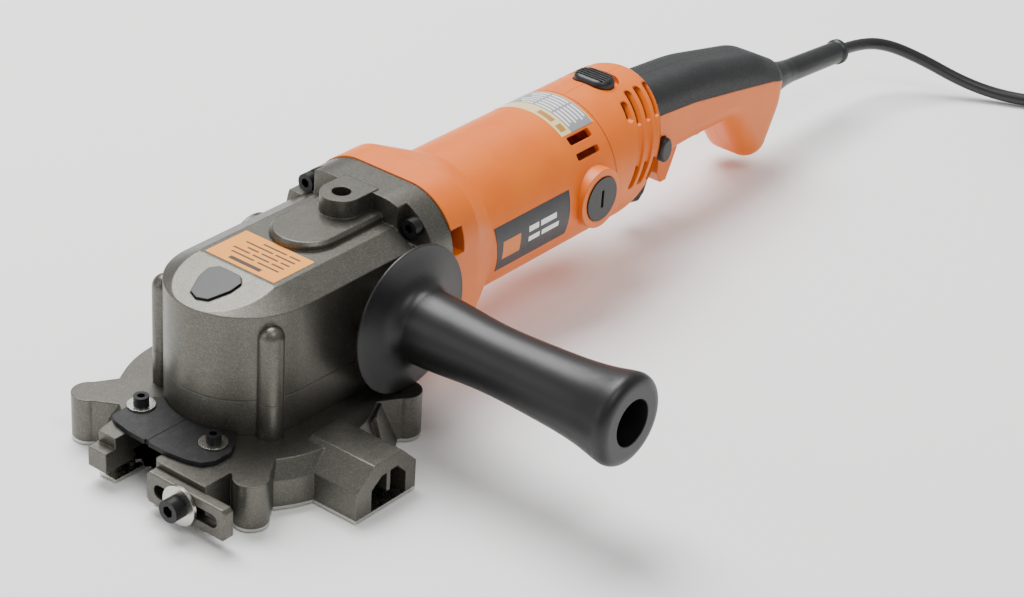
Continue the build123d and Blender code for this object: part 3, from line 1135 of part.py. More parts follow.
# cord guard, turned about the cord's exit line
EXIT = Vector(459.7, 0, 34.02)
EXIT_DIR = Vector(math.cos(math.radians(GUARD_EXIT_ANGLE)), 0, -math.sin(math.radians(GUARD_EXIT_ANGLE)))
GUARD_LENGTH = 82.4
EXIT_PLANE = Plane(EXIT, x_dir=(0, 1, 0), z_dir=EXIT_DIR)
CORD_GUARD_LINE = [     # distance back from the exit, radius
    (0, 5.9), (-1, 6.9), (-3, 6.9), (-4, 6.0), (-50, 6.3), (-57, 6.9), (-63, 7.9), (-72.5, 9.2),
    (-74, 9.2), (-74, 7.2), (-78.8, 7.2), (-78.8, 9.4), (-GUARD_LENGTH, 9.4)]


def cord_guard_solid(mode=Mode.ADD):
    """Add the cord guard to the current part, or cut its seat."""
    side_view = Plane(EXIT, x_dir=EXIT_DIR, z_dir=(0, 1, 0))
    with BuildSketch(side_view) as half:
        outline((0, 0), *CORD_GUARD_LINE, (-GUARD_LENGTH, 0))
    revolve(half.sketch, axis=Axis(EXIT, EXIT_DIR), mode=mode)


with BuildPart() as cord_guard:
    cord_guard_solid()
write(cord_guard, "cord_guard")

SCREW_SPOTS = [(222, 35.4), (222, 77), (308, 46), (352, 41), (366, 19)]
SCREW_D = 4.0
SCREW_L = 20.0
SCREW_HEAD_Y = 6.0      # where the heads sit, left of the parting plane
PAD = (30.0, 26.0, 3.6)
SLIDE_STEM = (5.0, 8.0)
SLIDE_PLATE = (11.0, 12.0, 1.5)
SLIDE_PLATE_Z = 82.8
SLIDE_PAD_Z = SLIDE_PLATE_Z + SLIDE_PLATE[2] + 0.5

for side, name in ((1, "rear_housing_left"), (-1, "rear_housing_right")):
    with BuildPart() as shell:
        add(rear_barrel.part)
        add(handle_body.part)
        # finger stop behind the trigger
        with BuildSketch(Plane.XZ):
            outline((NUB_X[0], 41), (NUB_X[0], NUB_Z + 6), (NUB_X[0] + 3.3, NUB_Z), (NUB_X[1] - 3.5, NUB_Z),
                    (NUB_X[1] - 1, NUB_Z + 5), (NUB_X[1] + 4, 35), (NUB_X[1] + 4, 41))
        extrude(amount=7.5, both=True)
        add(grip_skin.part, mode=Mode.SUBTRACT)
        add(grooves.part, mode=Mode.SUBTRACT)
        add(rear_hollow.part, mode=Mode.SUBTRACT)
        add(handle_hollow.part, mode=Mode.SUBTRACT)
        add(vents.part, mode=Mode.SUBTRACT)
        # thumb slide: a pad under the top wall, a pocket, and a slot for the stem
        with Locations((SLIDE_X + SLIDE_TRAVEL / 2, 0, (SLIDE_PAD_Z + SLIDE_FLOOR_Z) / 2)):
            Box(PAD[0], PAD[1], SLIDE_FLOOR_Z - SLIDE_PAD_Z + 0.6)
        with BuildSketch(Plane.XY.offset(SLIDE_FLOOR_Z)):
            with Locations((SLIDE_X + SLIDE_TRAVEL / 2, 0)):
                RectangleRounded(SLIDE_SIZE[0] + SLIDE_TRAVEL + 2 * GAP, SLIDE_SIZE[1] + 2 * GAP, 7.2)
        extrude(amount=20, mode=Mode.SUBTRACT)
        with Locations((SLIDE_X + SLIDE_TRAVEL / 2, 0, SLIDE_FLOOR_Z)):
            Box(SLIDE_STEM[0] + SLIDE_TRAVEL + 2 * GAP, SLIDE_STEM[1] + 2 * GAP, 20, mode=Mode.SUBTRACT)
        # screw bosses, in halves
        for x, z in SCREW_SPOTS:
            reach = HANDLE_HALF - 1 if x > 260 else 24
            with BuildSketch(Plane.XZ):
                with Locations((x, z)):
                    Circle(SCREW_D / 2 + 2.4)
            extrude(amount=-side * (SCREW_HEAD_Y + SCREW_D + 4 if x > 260 else reach))
        with Locations((300, -side * 50, 50)):
            Box(400, 100, 200, mode=Mode.SUBTRACT)
        for x, z in SCREW_SPOTS:
            seat = facing(x, SCREW_HEAD_Y, z, (0, 1, 0))
            disc(seat, SCREW_D / 2, -SCREW_L, mode=Mode.SUBTRACT)
            disc(seat, 0.85 * SCREW_D + GAP, 40, mode=Mode.SUBTRACT)
        # trigger slot, trigger pin, lock-on button
        with Locations(((TRIGGER_SLOT[0] + TRIGGER_SLOT[1]) / 2, 0, 30)):
            Box(TRIGGER_SLOT[1] - TRIGGER_SLOT[0], TRIGGER_W + 2 * GAP, 44, mode=Mode.SUBTRACT)
        if side < 0:
            lockon_oval(-8, GAP, -30, mode=Mode.SUBTRACT)
            lockon_oval(-HANDLE_HALF + SHELL_WALL + GAP, LOCKON_LIP + GAP, 6, mode=Mode.SUBTRACT)
        trigger_pin_rod(mode=Mode.SUBTRACT)
        cord_guard_solid(mode=Mode.SUBTRACT)
    write(shell, name)
    with BuildPart() as grip:
        add(grip_skin.part)
        with Locations((300, -side * 50, 50)):
            Box(400, 100, 200, mode=Mode.SUBTRACT)
        cord_guard_solid(mode=Mode.SUBTRACT)
    write(grip, "grip_left" if side > 0 else "grip_right")

with BuildPart() as clamshell_screws:
    for x, z in SCREW_SPOTS:
        cap_screw(facing(x, SCREW_HEAD_Y, z, (0, 1, 0)), SCREW_D, SCREW_L)
write(clamshell_screws, "clamshell_screws")

TRIGGER_LINE = [(257.5, 46), (256.5, 40), (259.5, 30), (263.5, 20), (267, 15), (273, 13.6), (277.5, 17.5),
                (281, 26), (282.6, 33), (284, 40), (283.6, 46)]
with BuildPart() as trigger:
    with BuildSketch(Plane.XZ):
        outline(*TRIGGER_LINE)
        with Locations(TRIGGER_PIVOT):
            Circle(4.6)
            Circle(TRIGGER_PIN_D / 2 + FIT, mode=Mode.SUBTRACT)
    extrude(amount=TRIGGER_W / 2, both=True)
    flats = trigger.faces().filter_by(Axis.Y)
    chamfer(flats.edges().filter_by(lambda e: e.geom_type == GeomType.LINE and e.center().Z < 28), length=1.4)
write(trigger, "trigger")

with BuildPart() as trigger_pin:
    trigger_pin_rod()
write(trigger_pin, "trigger_pin")

LOCKON_PROUD = 3.6
with BuildPart() as lock_on_button:
    lockon_oval(-HANDLE_HALF - LOCKON_PROUD, 0, LOCKON_PROUD + SHELL_WALL + 2)
    fillet(lock_on_button.edges().sort_by(Axis.Y)[0], radius=1.6)
    lockon_oval(-HANDLE_HALF + SHELL_WALL + 2 * GAP, LOCKON_LIP, 1.5)
write(lock_on_button, "lock_on_button")

with BuildPart() as thumb_slide:
    low = SLIDE_FLOOR_Z + GAP
    with BuildSketch(Plane.XY.offset(low)):
        with Locations((SLIDE_X, 0)):
            RectangleRounded(*SLIDE_SIZE, 6.9)
    extrude(amount=5.4)
    fillet(thumb_slide.faces().sort_by(Axis.Z)[-1].edges(), radius=2.6)
    with Locations(*[(SLIDE_X + 2.0 * i, 0, low + 5.4) for i in range(-2, 3)]):
        Box(0.9, 16, 1.4, mode=Mode.SUBTRACT)
    with Locations((SLIDE_X, 0, (SLIDE_PLATE_Z + low) / 2)):
        Box(*SLIDE_STEM, low - SLIDE_PLATE_Z)
    with Locations((SLIDE_X, 0, SLIDE_PLATE_Z + SLIDE_PLATE[2] / 2)):
        Box(*SLIDE_PLATE)
write(thumb_slide, "thumb_slide")

SWITCH = (262.0, 300.0, 56.0, 70.0)
with BuildPart() as switch_module:
    with Locations(((SWITCH[0] + SWITCH[1]) / 2, 0, (SWITCH[2] + SWITCH[3]) / 2)):
        Box(SWITCH[1] - SWITCH[0], 2 * (HANDLE_HALF - SHELL_WALL), SWITCH[3] - SWITCH[2])
    with Locations((TRIGGER_PIVOT[0] + 12, 0, SWITCH[2] + 1.5)):
        Box(6, 6, 15)
write(switch_module, "switch_module")

# ---------------------------------------------------------------- cord
CORD_POINTS = [(478.5, 0, 32.37), (497.5, -7, 28.7), (512.5, -23, 19.5), (524, -42.5, 9.0),
               (533.5, -62, 3.9), (543.5, -83, 3.4), (558.1, -107, 3.35)]
route = [EXIT] + [Vector(*point) for point in CORD_POINTS]
radii = []
for before, here, after in zip(route, route[1:], route[2:]):
    turn = math.radians((here - before).get_angle(after - here))
    shorter = min((here - before).length, (after - here).length)
    radii.append(0.45 * shorter / math.tan(turn / 2))
print("cord radii", [round(radius, 1) for radius in radii])
with BuildPart() as cord:
    with BuildLine():
        cord_path = FilletPolyline(*route, radius=radii)
    with BuildSketch(EXIT_PLANE):
        Circle(CORD_D / 2)
    sweep()
write(cord, "cord")
print("cord length", round(cord_path.length, 1), "volume ratio",
      round(cord.part.volume / (cord_path.length * math.pi * CORD_D ** 2 / 4), 4))

COIL_AT = (526.6, -145.5)
COIL_RINGS = 4
COIL_LAYERS = 4
COIL_INNER_RING = 27.0  # radius of the innermost turn
with BuildPart() as cord_coil:
    inner = COIL_INNER_RING - CORD_D / 2
    ring(upright(*COIL_AT, 0), inner + COIL_RINGS * CORD_D, inner, COIL_LAYERS * CORD_D)
    fillet(cord_coil.edges(), radius=CORD_D / 2 - 0.4)
write(cord_coil, "cord_coil")

PLUG_HALF = 12.0        # half the plug's thickness
PLUG_Y = COIL_AT[1] - COIL_INNER_RING - CORD_D
PLUG_FACE_X = COIL_AT[0] - 35.0
PLUG_Z = COIL_LAYERS * CORD_D + PLUG_HALF
PLUG_LINE = [(0, 17.0), (7, 17.5), (12, 16), (20, 12.5), (28, 10.5), (30, 6.5), (43, 5.0)]
with BuildPart() as plug:
    with BuildSketch(Plane((PLUG_FACE_X, PLUG_Y, PLUG_Z), x_dir=(1, 0, 0), z_dir=(0, -1, 0))):
        outline((0, 0), *PLUG_LINE, (PLUG_LINE[-1][0], 0))
    revolve(axis=Axis((0, PLUG_Y, PLUG_Z), (1, 0, 0)))
    with Locations((PLUG_FACE_X + 25, PLUG_Y, PLUG_Z)):
        Box(60, 60, 2 * PLUG_HALF, mode=Mode.INTERSECT)
write(plug, "plug")

PIN_PITCH = 19.0
with BuildPart() as plug_pins:
    for side in (1, -1):
        disc(facing(PLUG_FACE_X, PLUG_Y + side * PIN_PITCH / 2, PLUG_Z, (-1, 0, 0)), 2.4, 19)
    fillet(plug_pins.edges().group_by(Axis.X)[0], radius=1.4)
write(plug_pins, "plug_pins")
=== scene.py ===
import math
import bmesh
import bpy
from mathutils import Matrix, Vector


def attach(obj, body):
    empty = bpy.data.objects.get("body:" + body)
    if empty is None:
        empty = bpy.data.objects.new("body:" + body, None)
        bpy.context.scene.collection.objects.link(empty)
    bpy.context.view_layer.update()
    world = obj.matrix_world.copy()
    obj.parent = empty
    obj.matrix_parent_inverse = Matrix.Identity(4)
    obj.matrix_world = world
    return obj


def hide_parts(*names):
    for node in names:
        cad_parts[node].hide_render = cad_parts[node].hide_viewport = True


# Rebar cutter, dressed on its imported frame. Z is the disc's spindle axis, +X runs back along the motor,
# and the side handle points to -Y. Sizes are in millimetres and MM turns them to metres, except for
# the camera, the lights and the floor, which are in metres.

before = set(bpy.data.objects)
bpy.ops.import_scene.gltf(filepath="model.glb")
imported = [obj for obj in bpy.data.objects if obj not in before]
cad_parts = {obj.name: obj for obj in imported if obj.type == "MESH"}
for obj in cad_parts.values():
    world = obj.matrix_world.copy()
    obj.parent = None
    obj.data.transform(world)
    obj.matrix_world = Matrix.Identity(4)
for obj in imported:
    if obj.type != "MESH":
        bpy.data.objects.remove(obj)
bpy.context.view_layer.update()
MM = 0.001
TOOL = "tool_body"

CAMERA_AT = (-0.73697, -0.70145, 0.65185)
CAMERA_TURN = (52.66, 29.68, 3.613)     # degrees: heading from +Y to +X, tilt down, roll
CAMERA_LENS = 97.47
FLOOR_Z = -0.0006       # a hair under the tool, so that no face is shared
FLOOR_CORNERS = ((-6, -6), (8, -6), (8, 8), (-6, 8))
SKY_STRENGTH = 0.5
LIGHT_AIM = (0.18, 0, 0.05)
LIGHTS = (      # name, place, power in watts, size
    ("key", (-0.2, -1.1, 1.9), 12, 0.8),
    ("top", (0.45, 0.75, 1.7), 62, 1.2),
    ("left", (-1.6, 0.9, 0.9), 6, 0.9))


# ---------------------------------------------------------------- camera
def add_camera():
    """A long lens looking down over the front right corner of the tool."""
    yaw, pitch, roll = [math.radians(angle) for angle in CAMERA_TURN]
    forward = Vector((math.sin(yaw) * math.cos(pitch), math.cos(yaw) * math.cos(pitch), -math.sin(pitch)))
    right = Vector((math.cos(yaw), -math.sin(yaw), 0))
    up = right.cross(forward)
    turned_right = right * math.cos(roll) + up * math.sin(roll)
    turned_up = up * math.cos(roll) - right * math.sin(roll)
    lens = bpy.data.cameras.new("camera")
    lens.lens = CAMERA_LENS
    lens.clip_start = 0.01
    camera = bpy.data.objects.new("camera", lens)
    bpy.context.scene.collection.objects.link(camera)
    turn = Matrix((turned_right, turned_up, -forward)).transposed()
    camera.matrix_world = Matrix.Translation(CAMERA_AT) @ turn.to_4x4()
    bpy.context.scene.camera = camera


# ---------------------------------------------------------------- material helpers
def linear(colour):
    """An sRGB hex colour as the linear values that a socket takes."""
    parts = [int(colour[i:i + 2], 16) / 255 for i in (1, 3, 5)]
    return [p / 12.92 if p <= 0.04045 else ((p + 0.055) / 1.055) ** 2.4 for p in parts] + [1.0]


def add_node(tree, kind, inputs=None, **settings):
    """Add a shader node, with its settings and its inputs as values or links."""
    made = tree.nodes.new(kind)
    for name, value in settings.items():
        setattr(made, name, value)
    for name, value in (inputs or {}).items():
        if isinstance(value, bpy.types.NodeSocket):
            tree.links.new(value, made.inputs[name])
        else:
            made.inputs[name].default_value = value
    return made


def start(name):
    """A new material with its shader and object coordinates."""
    material = bpy.data.materials.new(name)
    material.use_nodes = True
    tree = material.node_tree
    shader = tree.nodes["Principled BSDF"]
    place = add_node(tree, "ShaderNodeTexCoord").outputs["Object"]
    return material, tree, shader, place


def noise(tree, place, size, detail=3.0, rough=0.6):
    """Noise whose blotches are about the given size in metres."""
    made = add_node(tree, "ShaderNodeTexNoise", {"Vector": place, "Scale": 1 / size, "Detail": detail,
                                                 "Roughness": rough})
    return made.outputs["Fac"]


def span(tree, value, low, high, to_low=0.0, to_high=1.0):
    """Map a value from one range to another, clamped."""
    made = add_node(tree, "ShaderNodeMapRange", {"Value": value, "From Min": low, "From Max": high,
                                                 "To Min": to_low, "To Max": to_high})
    return made.outputs["Result"]


def math_node(tree, operation, a, b=0.0):
    """One math operation on two values."""
    made = add_node(tree, "ShaderNodeMath", {0: a, 1: b}, operation=operation)
    return made.outputs["Value"]


def mix(tree, factor, a, b):
    """Mix two colours, given as hex or as sockets."""
    a = linear(a) if isinstance(a, str) else a
    b = linear(b) if isinstance(b, str) else b
    made = add_node(tree, "ShaderNodeMix", {"Factor": factor}, data_type="RGBA")
    for index, value in ((6, a), (7, b)):
        if isinstance(value, bpy.types.NodeSocket):
            tree.links.new(value, made.inputs[index])
        else:
            made.inputs[index].default_value = value
    return made.outputs[2]


def bump(tree, shader, height, depth, strength=1.0, edge=0.0):
    """Drive the shader's normal with a height, and soften hard edges by a radius in metres."""
    inputs = {"Height": height, "Distance": depth, "Strength": strength}
    if edge:
        inputs["Normal"] = add_node(tree, "ShaderNodeBevel", {"Radius": edge}, samples=4).outputs["Normal"]
    made = add_node(tree, "ShaderNodeBump", inputs)
    tree.links.new(made.outputs["Normal"], shader.inputs["Normal"])


def dress(shader, tree, colour=None, rough=None, metal=None, **values):
    """Set or link the shader's main inputs."""
    named = {"Base Color": colour, "Roughness": rough, "Metallic": metal, **values}
    for name, value in named.items():
        if value is None:
            continue
        if isinstance(value, str):
            value = linear(value)
        if isinstance(value, bpy.types.NodeSocket):
            tree.links.new(value, shader.inputs[name])
        else:
            shader.inputs[name].default_value = value


# ---------------------------------------------------------------- materials
def painted_casting():
    """Die-cast aluminium under warm grey metallic paint: fine flakes, soft edges, slight orange peel."""
    material, tree, shader, place = start("warm grey metallic paint on casting")
    flakes = add_node(tree, "ShaderNodeTexVoronoi", {"Vector": place, "Scale": 1 / (0.28 * MM)})
    glint = span(tree, flakes.outputs["Color"], 0.55, 1.0)
    base = mix(tree, noise(tree, place, 14 * MM), "#53524c", "#605e57")
    base = mix(tree, math_node(tree, "MULTIPLY", glint, 0.3), base, "#a9a79e")
    rough = span(tree, noise(tree, place, 1.6 * MM), 0.3, 0.7, 0.33, 0.42)
    peel = math_node(tree, "ADD", math_node(tree, "MULTIPLY", noise(tree, place, 0.5 * MM), 0.4),
                     noise(tree, place, 2.4 * MM))
    dress(shader, tree, base, rough, 0.82)
    bump(tree, shader, peel, 0.022 * MM, 0.8, edge=0.9 * MM)
    return material


def moulded_plastic(name, colour, second, rough, grain, depth, edge):
    """Moulded plastic with a fine sparked grain and a faint change of tone."""
    material, tree, shader, place = start(name)
    tone = span(tree, noise(tree, place, 22 * MM, 2.0), 0.35, 0.65)
    fine = noise(tree, place, grain, 4.0, 0.7)
    base = mix(tree, tone, colour, second)
    gloss = span(tree, fine, 0.3, 0.7, rough - 0.05, rough + 0.07)
    dress(shader, tree, base, gloss, 0.0, **{"Specular IOR Level": 0.45})
    bump(tree, shader, fine, depth, 0.6, edge=edge)
    return material


def soft_grip():
    """Dark grey overmoulded elastomer with a leather-like moulded grain."""
    material, tree, shader, place = start("dark grey soft grip elastomer")
    cells = add_node(tree, "ShaderNodeTexVoronoi", {"Vector": place, "Scale": 1 / (0.75 * MM)},
                     feature="SMOOTH_F1").outputs["Distance"]
    dust = span(tree, noise(tree, place, 2.5 * MM, 5.0, 0.75), 0.55, 0.75)
    base = mix(tree, noise(tree, place, 14 * MM), "#1f2021", "#28292a")
    base = mix(tree, math_node(tree, "MULTIPLY", dust, 0.12), base, "#777774")
    dress(shader, tree, base, span(tree, cells, 0.0, 0.8, 0.5, 0.7), 0.0, **{"Specular IOR Level": 0.4})
    bump(tree, shader, cells, 0.09 * MM, 0.8, edge=0.8 * MM)
    return material


def bare_metal(name, colour, second, rough, metal=1.0, grain=(1.0, 1.0, 12.0)):
    """Bare or plated metal with fine directional scratches."""
    material, tree, shader, place = start(name)
    stretched = add_node(tree, "ShaderNodeMapping", {"Vector": place, "Scale": grain}).outputs["Vector"]
    lines = noise(tree, stretched, 1.4 * MM, 4.0, 0.7)
    base = mix(tree, noise(tree, place, 6 * MM), colour, second)
    dress(shader, tree, base, span(tree, lines, 0.25, 0.75, rough - 0.07, rough + 0.1), metal)
    bump(tree, shader, lines, 0.02 * MM, 0.6, edge=0.3 * MM)
    return material


def flap_rubber():
    """Matt black rubber sheet, dusty, with a slightly uneven face."""
    material, tree, shader, place = start("matt black sheet rubber")
    dust = span(tree, noise(tree, place, 5 * MM, 6.0, 0.75), 0.5, 0.8)
    base = mix(tree, math_node(tree, "MULTIPLY", dust, 0.2), "#101011", "#5c5c5e")
    fine = noise(tree, place, 1.2 * MM, 5.0, 0.7)
    dress(shader, tree, base, span(tree, fine, 0.3, 0.7, 0.5, 0.68), 0.0, **{"Specular IOR Level": 0.4})
    bump(tree, shader, fine, 0.08 * MM, 0.6, edge=0.5 * MM)
    return material


def cord_sheath():
    """Dark grey-green PVC cable sheath with faint fine marks in its gloss and surface."""
    material, tree, shader, place = start("dark grey cable sheath PVC")
    fine = noise(tree, place, 0.9 * MM, 3.0, 0.6)
    base = mix(tree, noise(tree, place, 12 * MM), "#161817", "#1e201f")
    dress(shader, tree, base, span(tree, fine, 0.3, 0.7, 0.34, 0.46), 0.0, **{"Specular IOR Level": 0.5})
    bump(tree, shader, fine, 0.03 * MM, 0.5)
    return material


def inside(tree, axis, low, high):
    """1 where the coordinate lies between two values in millimetres, else 0."""
    above = math_node(tree, "GREATER_THAN", axis, low * MM)
    below = math_node(tree, "LESS_THAN", axis, high * MM)
    return math_node(tree, "MULTIPLY", above, below)


def bars(tree, parts, axes, spots):
    """Plain bars that stand for printing: each spot is low and high on the two named axes."""
    total = 0.0
    for spot in spots:
        sides = [inside(tree, parts.outputs[axis], *pair) for axis, pair in zip(axes, (spot[:2], spot[2:]))]
        total = math_node(tree, "MAXIMUM", math_node(tree, "MULTIPLY", *sides), total)
    return total


def rows(first, pitch, thick, ends):
    """Rows of word-like bars: each end is where a row's words start and stop, in turn."""
    spots = []
    for row, words in enumerate(ends):
        low = first + pitch * row
        spots += [(low, low + thick, start, stop) for start, stop in zip(words[::2], words[1::2])]
    return spots


def printed(name, ground, layers, axes, rough=0.35):
    """A printed film whose only printing is plain bars, in layers of ink."""
    material, tree, shader, place = start(name)
    parts = add_node(tree, "ShaderNodeSeparateXYZ", {"Vector": place})
    colour = linear(ground)
    for ink, spots in layers:
        colour = mix(tree, bars(tree, parts, axes, spots), colour, ink)
    gloss = span(tree, noise(tree, place, 3 * MM), 0.3, 0.7, rough - 0.03, rough + 0.05)
    dress(shader, tree, colour, gloss, 0.0)
    bump(tree, shader, noise(tree, place, 1.5 * MM), 0.01 * MM, 0.5)
    return material


def info_film():
    """The orange film on the gear head: a heading and lines of advice, as bars."""
    ends = [(-15, -3, -1, 12), (-15, -8, -6.5, 3, 4.5, 14), (-15, -10, -8.5, 1, 2.5, 9),
            (-15, -4, -2.5, 13), (-15, -9, -7.5, 6)]
    heading = [(-3.6, -1.2, -9, 9)]
    return printed("orange printed film", "#f19a2e", [("#3d2a14", heading + rows(1.4, 3.3, 1.1, ends))],
                   ("X", "Y"))


def plate_film():
    """The dark name plate: a plain orange block and two rows of plain light bars."""
    words = [(56.6, 59.4, 146, 153), (56.6, 59.4, 154.5, 166),
             (51.6, 54.2, 146, 154), (51.6, 54.2, 155.5, 168)]
    return printed("dark name plate film", "#26262a", [("#e0771f", [(49.5, 58.5, 127.5, 140)]),
                                                       ("#f4f4f1", words)], ("Z", "X"), 0.4)


def warning_film():
    """The film on top: a cream strip with two marks, then a grey field with light rows."""
    ends = [(-17.5 + i % 2, -8, -6.8, 3, 4.2, 11 + 2 * (i % 3)) for i in range(6)]
    field = [(193.2, 209.0, -21, 21)]
    mark = [(187.6, 191.6, -18.5, -14.5), (187.8, 191.2, -12, -3)]
    return printed("silver printed film", "#e6cf96", [("#8d8e92", field), ("#b0813a", mark),
                                                     ("#e9e9ea", rows(194.2, 2.5, 1.2, ends))], ("X", "Y"))


def copper():
    """Enamelled copper winding wire, lying in turns, with painted shade in the grooves between turns and a
    painted highlight on their tops.
    """
    material, tree, shader, place = start("enamelled copper wire")
    turns = add_node(tree, "ShaderNodeTexWave", {"Vector": place, "Scale": 1 / (3.2 * MM), "Distortion": 0.6},
                     bands_direction="X").outputs["Fac"]
    # painted shade and highlight: the wire is darker in the grooves between turns and lighter on their raised
    # tops, following the bump
    dress(shader, tree, mix(tree, turns, "#7c3f1e", "#c4713c"), 0.35, 0.8)
    bump(tree, shader, turns, 0.2 * MM)
    return material


def make_materials():
    """Every finish of the tool, by a short name."""
    return {
        "casting": painted_casting(),
        # the housing's moulded ABS, warm orange
        "orange": moulded_plastic("orange moulded ABS", "#e36a06", "#e8720d",
                                  0.42, 0.45 * MM, 0.03 * MM, 1.0 * MM),
        # glass-filled nylon side handle, nearly black
        "handle": moulded_plastic("black moulded nylon", "#0e0e0f", "#131314",
                                  0.4, 0.5 * MM, 0.03 * MM, 0.9 * MM),
        # buttons, caps and trigger in the same nylon, a little lighter
        "button": moulded_plastic("charcoal moulded nylon", "#161718", "#1c1d1e",
                                  0.4, 0.35 * MM, 0.03 * MM, 0.5 * MM),
        # injection moulded PVC of the cord guard and plug
        "moulded_pvc": moulded_plastic("dark grey moulded PVC", "#1b1d1e", "#232526",
                                       0.38, 0.6 * MM, 0.02 * MM, 0.5 * MM),
        "grip": soft_grip(),
        "rubber": flap_rubber(),
        "sheath": cord_sheath(),
        # bright zinc plate on washers and the bottom plate's edge
        "zinc": bare_metal("bright zinc plate", "#c9c8c0", "#b3b2aa", 0.26),
        # black oxide on socket screws
        "oxide": bare_metal("black oxide steel", "#1b1b1c", "#272729", 0.4, 0.6),
        # ground steel of disc, spindle and bearings
        "ground": bare_metal("ground steel", "#9a9a98", "#838382", 0.3, 1.0, (1.0, 1.0, 1.0)),
        # gear steel as machined
        "gear": bare_metal("machined gear steel", "#6b6a68", "#585756", 0.42),
        # blued lamination edges
        "core": bare_metal("laminated core steel", "#55565a", "#3f4044", 0.45, 0.9, (40.0, 1.0, 1.0)),
        "brass": bare_metal("bright brass", "#c8a45a", "#b8934a", 0.3),
        "carbon": bare_metal("graphite brush", "#1a1a1b", "#242425", 0.55, 0.2),
        "copper": copper(),
        "info": info_film(),
        "plate": plate_film(),
        "warning": warning_film(),
    }


FINISH = {
    "casting": ("blade_guard", "gearbox_base", "gear_housing", "stop_bar"),
    "zinc": ("guard_plate", "guard_plate_screws", "flap_washers", "stop_washer", "side_handle_stud"),
    "rubber": ("mouth_flap_left", "mouth_flap_right"),
    "oxide": ("flap_screws", "stop_screw", "gearbox_screws", "flange_screws", "blade_bolt",
              "clamshell_screws"),
    "info": ("info_label",),
    "plate": ("name_plate",),
    "warning": ("warning_label",),
    "button": ("spindle_lock_button", "brush_caps", "trigger", "lock_on_button", "thumb_slide",
               "switch_module", "fan"),
    "ground": ("spindle", "inner_flange", "outer_flange", "blade", "intermediate_shaft", "armature_shaft",
               "spindle_bearings", "intermediate_bearings", "motor_bearings", "trigger_pin"),
    "gear": ("spur_gear", "spur_pinion", "bevel_gear", "bevel_pinion"),
    "handle": ("side_handle",),
    "orange": ("motor_housing", "rear_housing_left", "rear_housing_right"),
    "core": ("armature_core", "stator_core"),
    "copper": ("armature_windings", "field_coils"),
    "brass": ("commutator", "brush_holders", "plug_pins"),
    "carbon": ("carbon_brushes",),
    "grip": ("grip_left", "grip_right"),
    "moulded_pvc": ("cord_guard", "plug"),
    "sheath": ("cord", "cord_coil"),
}


def paint(piece, material):
    """Give an object one material."""
    piece.data.materials.clear()
    piece.data.materials.append(material)


# ---------------------------------------------------------------- cord
CORD_D = 6.5
EXIT = (459.7, 0, 34.02)
CORD_ROUTE = [(478.5, 0, 32.37), (497.5, -7, 28.7), (512.5, -23, 19.5), (524, -42.5, 9.0),
              (533.5, -62, 3.9), (543.5, -83, 3.4), (558.1, -107, 3.35)]
COIL_AT = (526.6, -145.5)
COIL_RINGS = 4
COIL_LAYERS = 4
COIL_INNER_RING = 27.0
COIL_STEPS = 15         # points to a turn
COIL_START = 30.0       # degrees, where the cord joins the outermost turn
COIL_EASE = 0.7         # how far round a turn the cord starts to change rings
COIL_SHORT = 1 / 3      # of a turn, by which the last one stops early
PLUG_HALF = 12.0        # half the plug's thickness
PLUG_TAIL = (COIL_AT[0] + 8, COIL_AT[1] - COIL_INNER_RING - CORD_D, COIL_LAYERS * CORD_D + PLUG_HALF)
PLUG_DEPTH = 2.0        # how far the cord runs into the plug's tail
CLIMB_LEAD = (24.0, 1.5)    # before the plug: how far from the coil's middle, and how far under its axis
CLIMB_STEPS = 5


def coil_points():
    """The wound cord: layer on layer, in to the middle and out again, clockwise from above."""
    step = 2 * math.pi / COIL_STEPS
    swell = 1 / math.cos(step / 2)
    points = []
    turns = COIL_RINGS * COIL_LAYERS
    count = int((turns - COIL_SHORT) * COIL_STEPS)
    for i in range(count + 1):
        turn = i / COIL_STEPS
        whole = int(turn)
        ease = max(0.0, (turn - whole - COIL_EASE) / (1 - COIL_EASE))
        near, far = [coil_ring(min(t, turns - 1)) for t in (whole, whole + 1)]
        radius = (near[0] + (far[0] - near[0]) * ease) * swell
        height = near[1] + (far[1] - near[1]) * ease
        angle = math.radians(COIL_START) - turn * 2 * math.pi
        points.append((COIL_AT[0] + radius * math.cos(angle), COIL_AT[1] + radius * math.sin(angle), height))
    return points


def coil_ring(turn):
    """Radius and height of one whole turn of the coil."""
    layer, ring = divmod(turn, COIL_RINGS)
    ring = COIL_RINGS - 1 - ring if layer % 2 == 0 else ring
    return COIL_INNER_RING + ring * CORD_D, CORD_D * (layer + 0.5)


def climb_points(from_point):
    """The last part of the cord, from the coil's top turn up to the plug's tail."""
    centre = Vector((*COIL_AT, 0))
    low = Vector(from_point) - centre
    start_angle = math.atan2(low.y, low.x)
    tail = Vector(PLUG_TAIL) - centre
    spots = []
    lead = Vector((CLIMB_LEAD[0], tail.y, tail.z - CLIMB_LEAD[1]))
    end_angle = math.atan2(lead.y, lead.x)
    for i in range(1, CLIMB_STEPS):
        part = i / CLIMB_STEPS
        angle = start_angle + (end_angle - start_angle) * part
        radius = low.xy.length + (lead.xy.length - low.xy.length) * part ** 2
        height = low.z + (lead.z - low.z) * (0.35 * part + 0.65 * math.sin(part * math.pi / 2))
        spots.append(centre + Vector((radius * math.cos(angle), radius * math.sin(angle), height)))
    spots.append(centre + lead)
    spots.append(centre + tail + Vector((8, 0, 0)))
    spots.append(centre + tail - Vector((PLUG_DEPTH, 0, 0)))
    return [tuple(spot) for spot in spots]


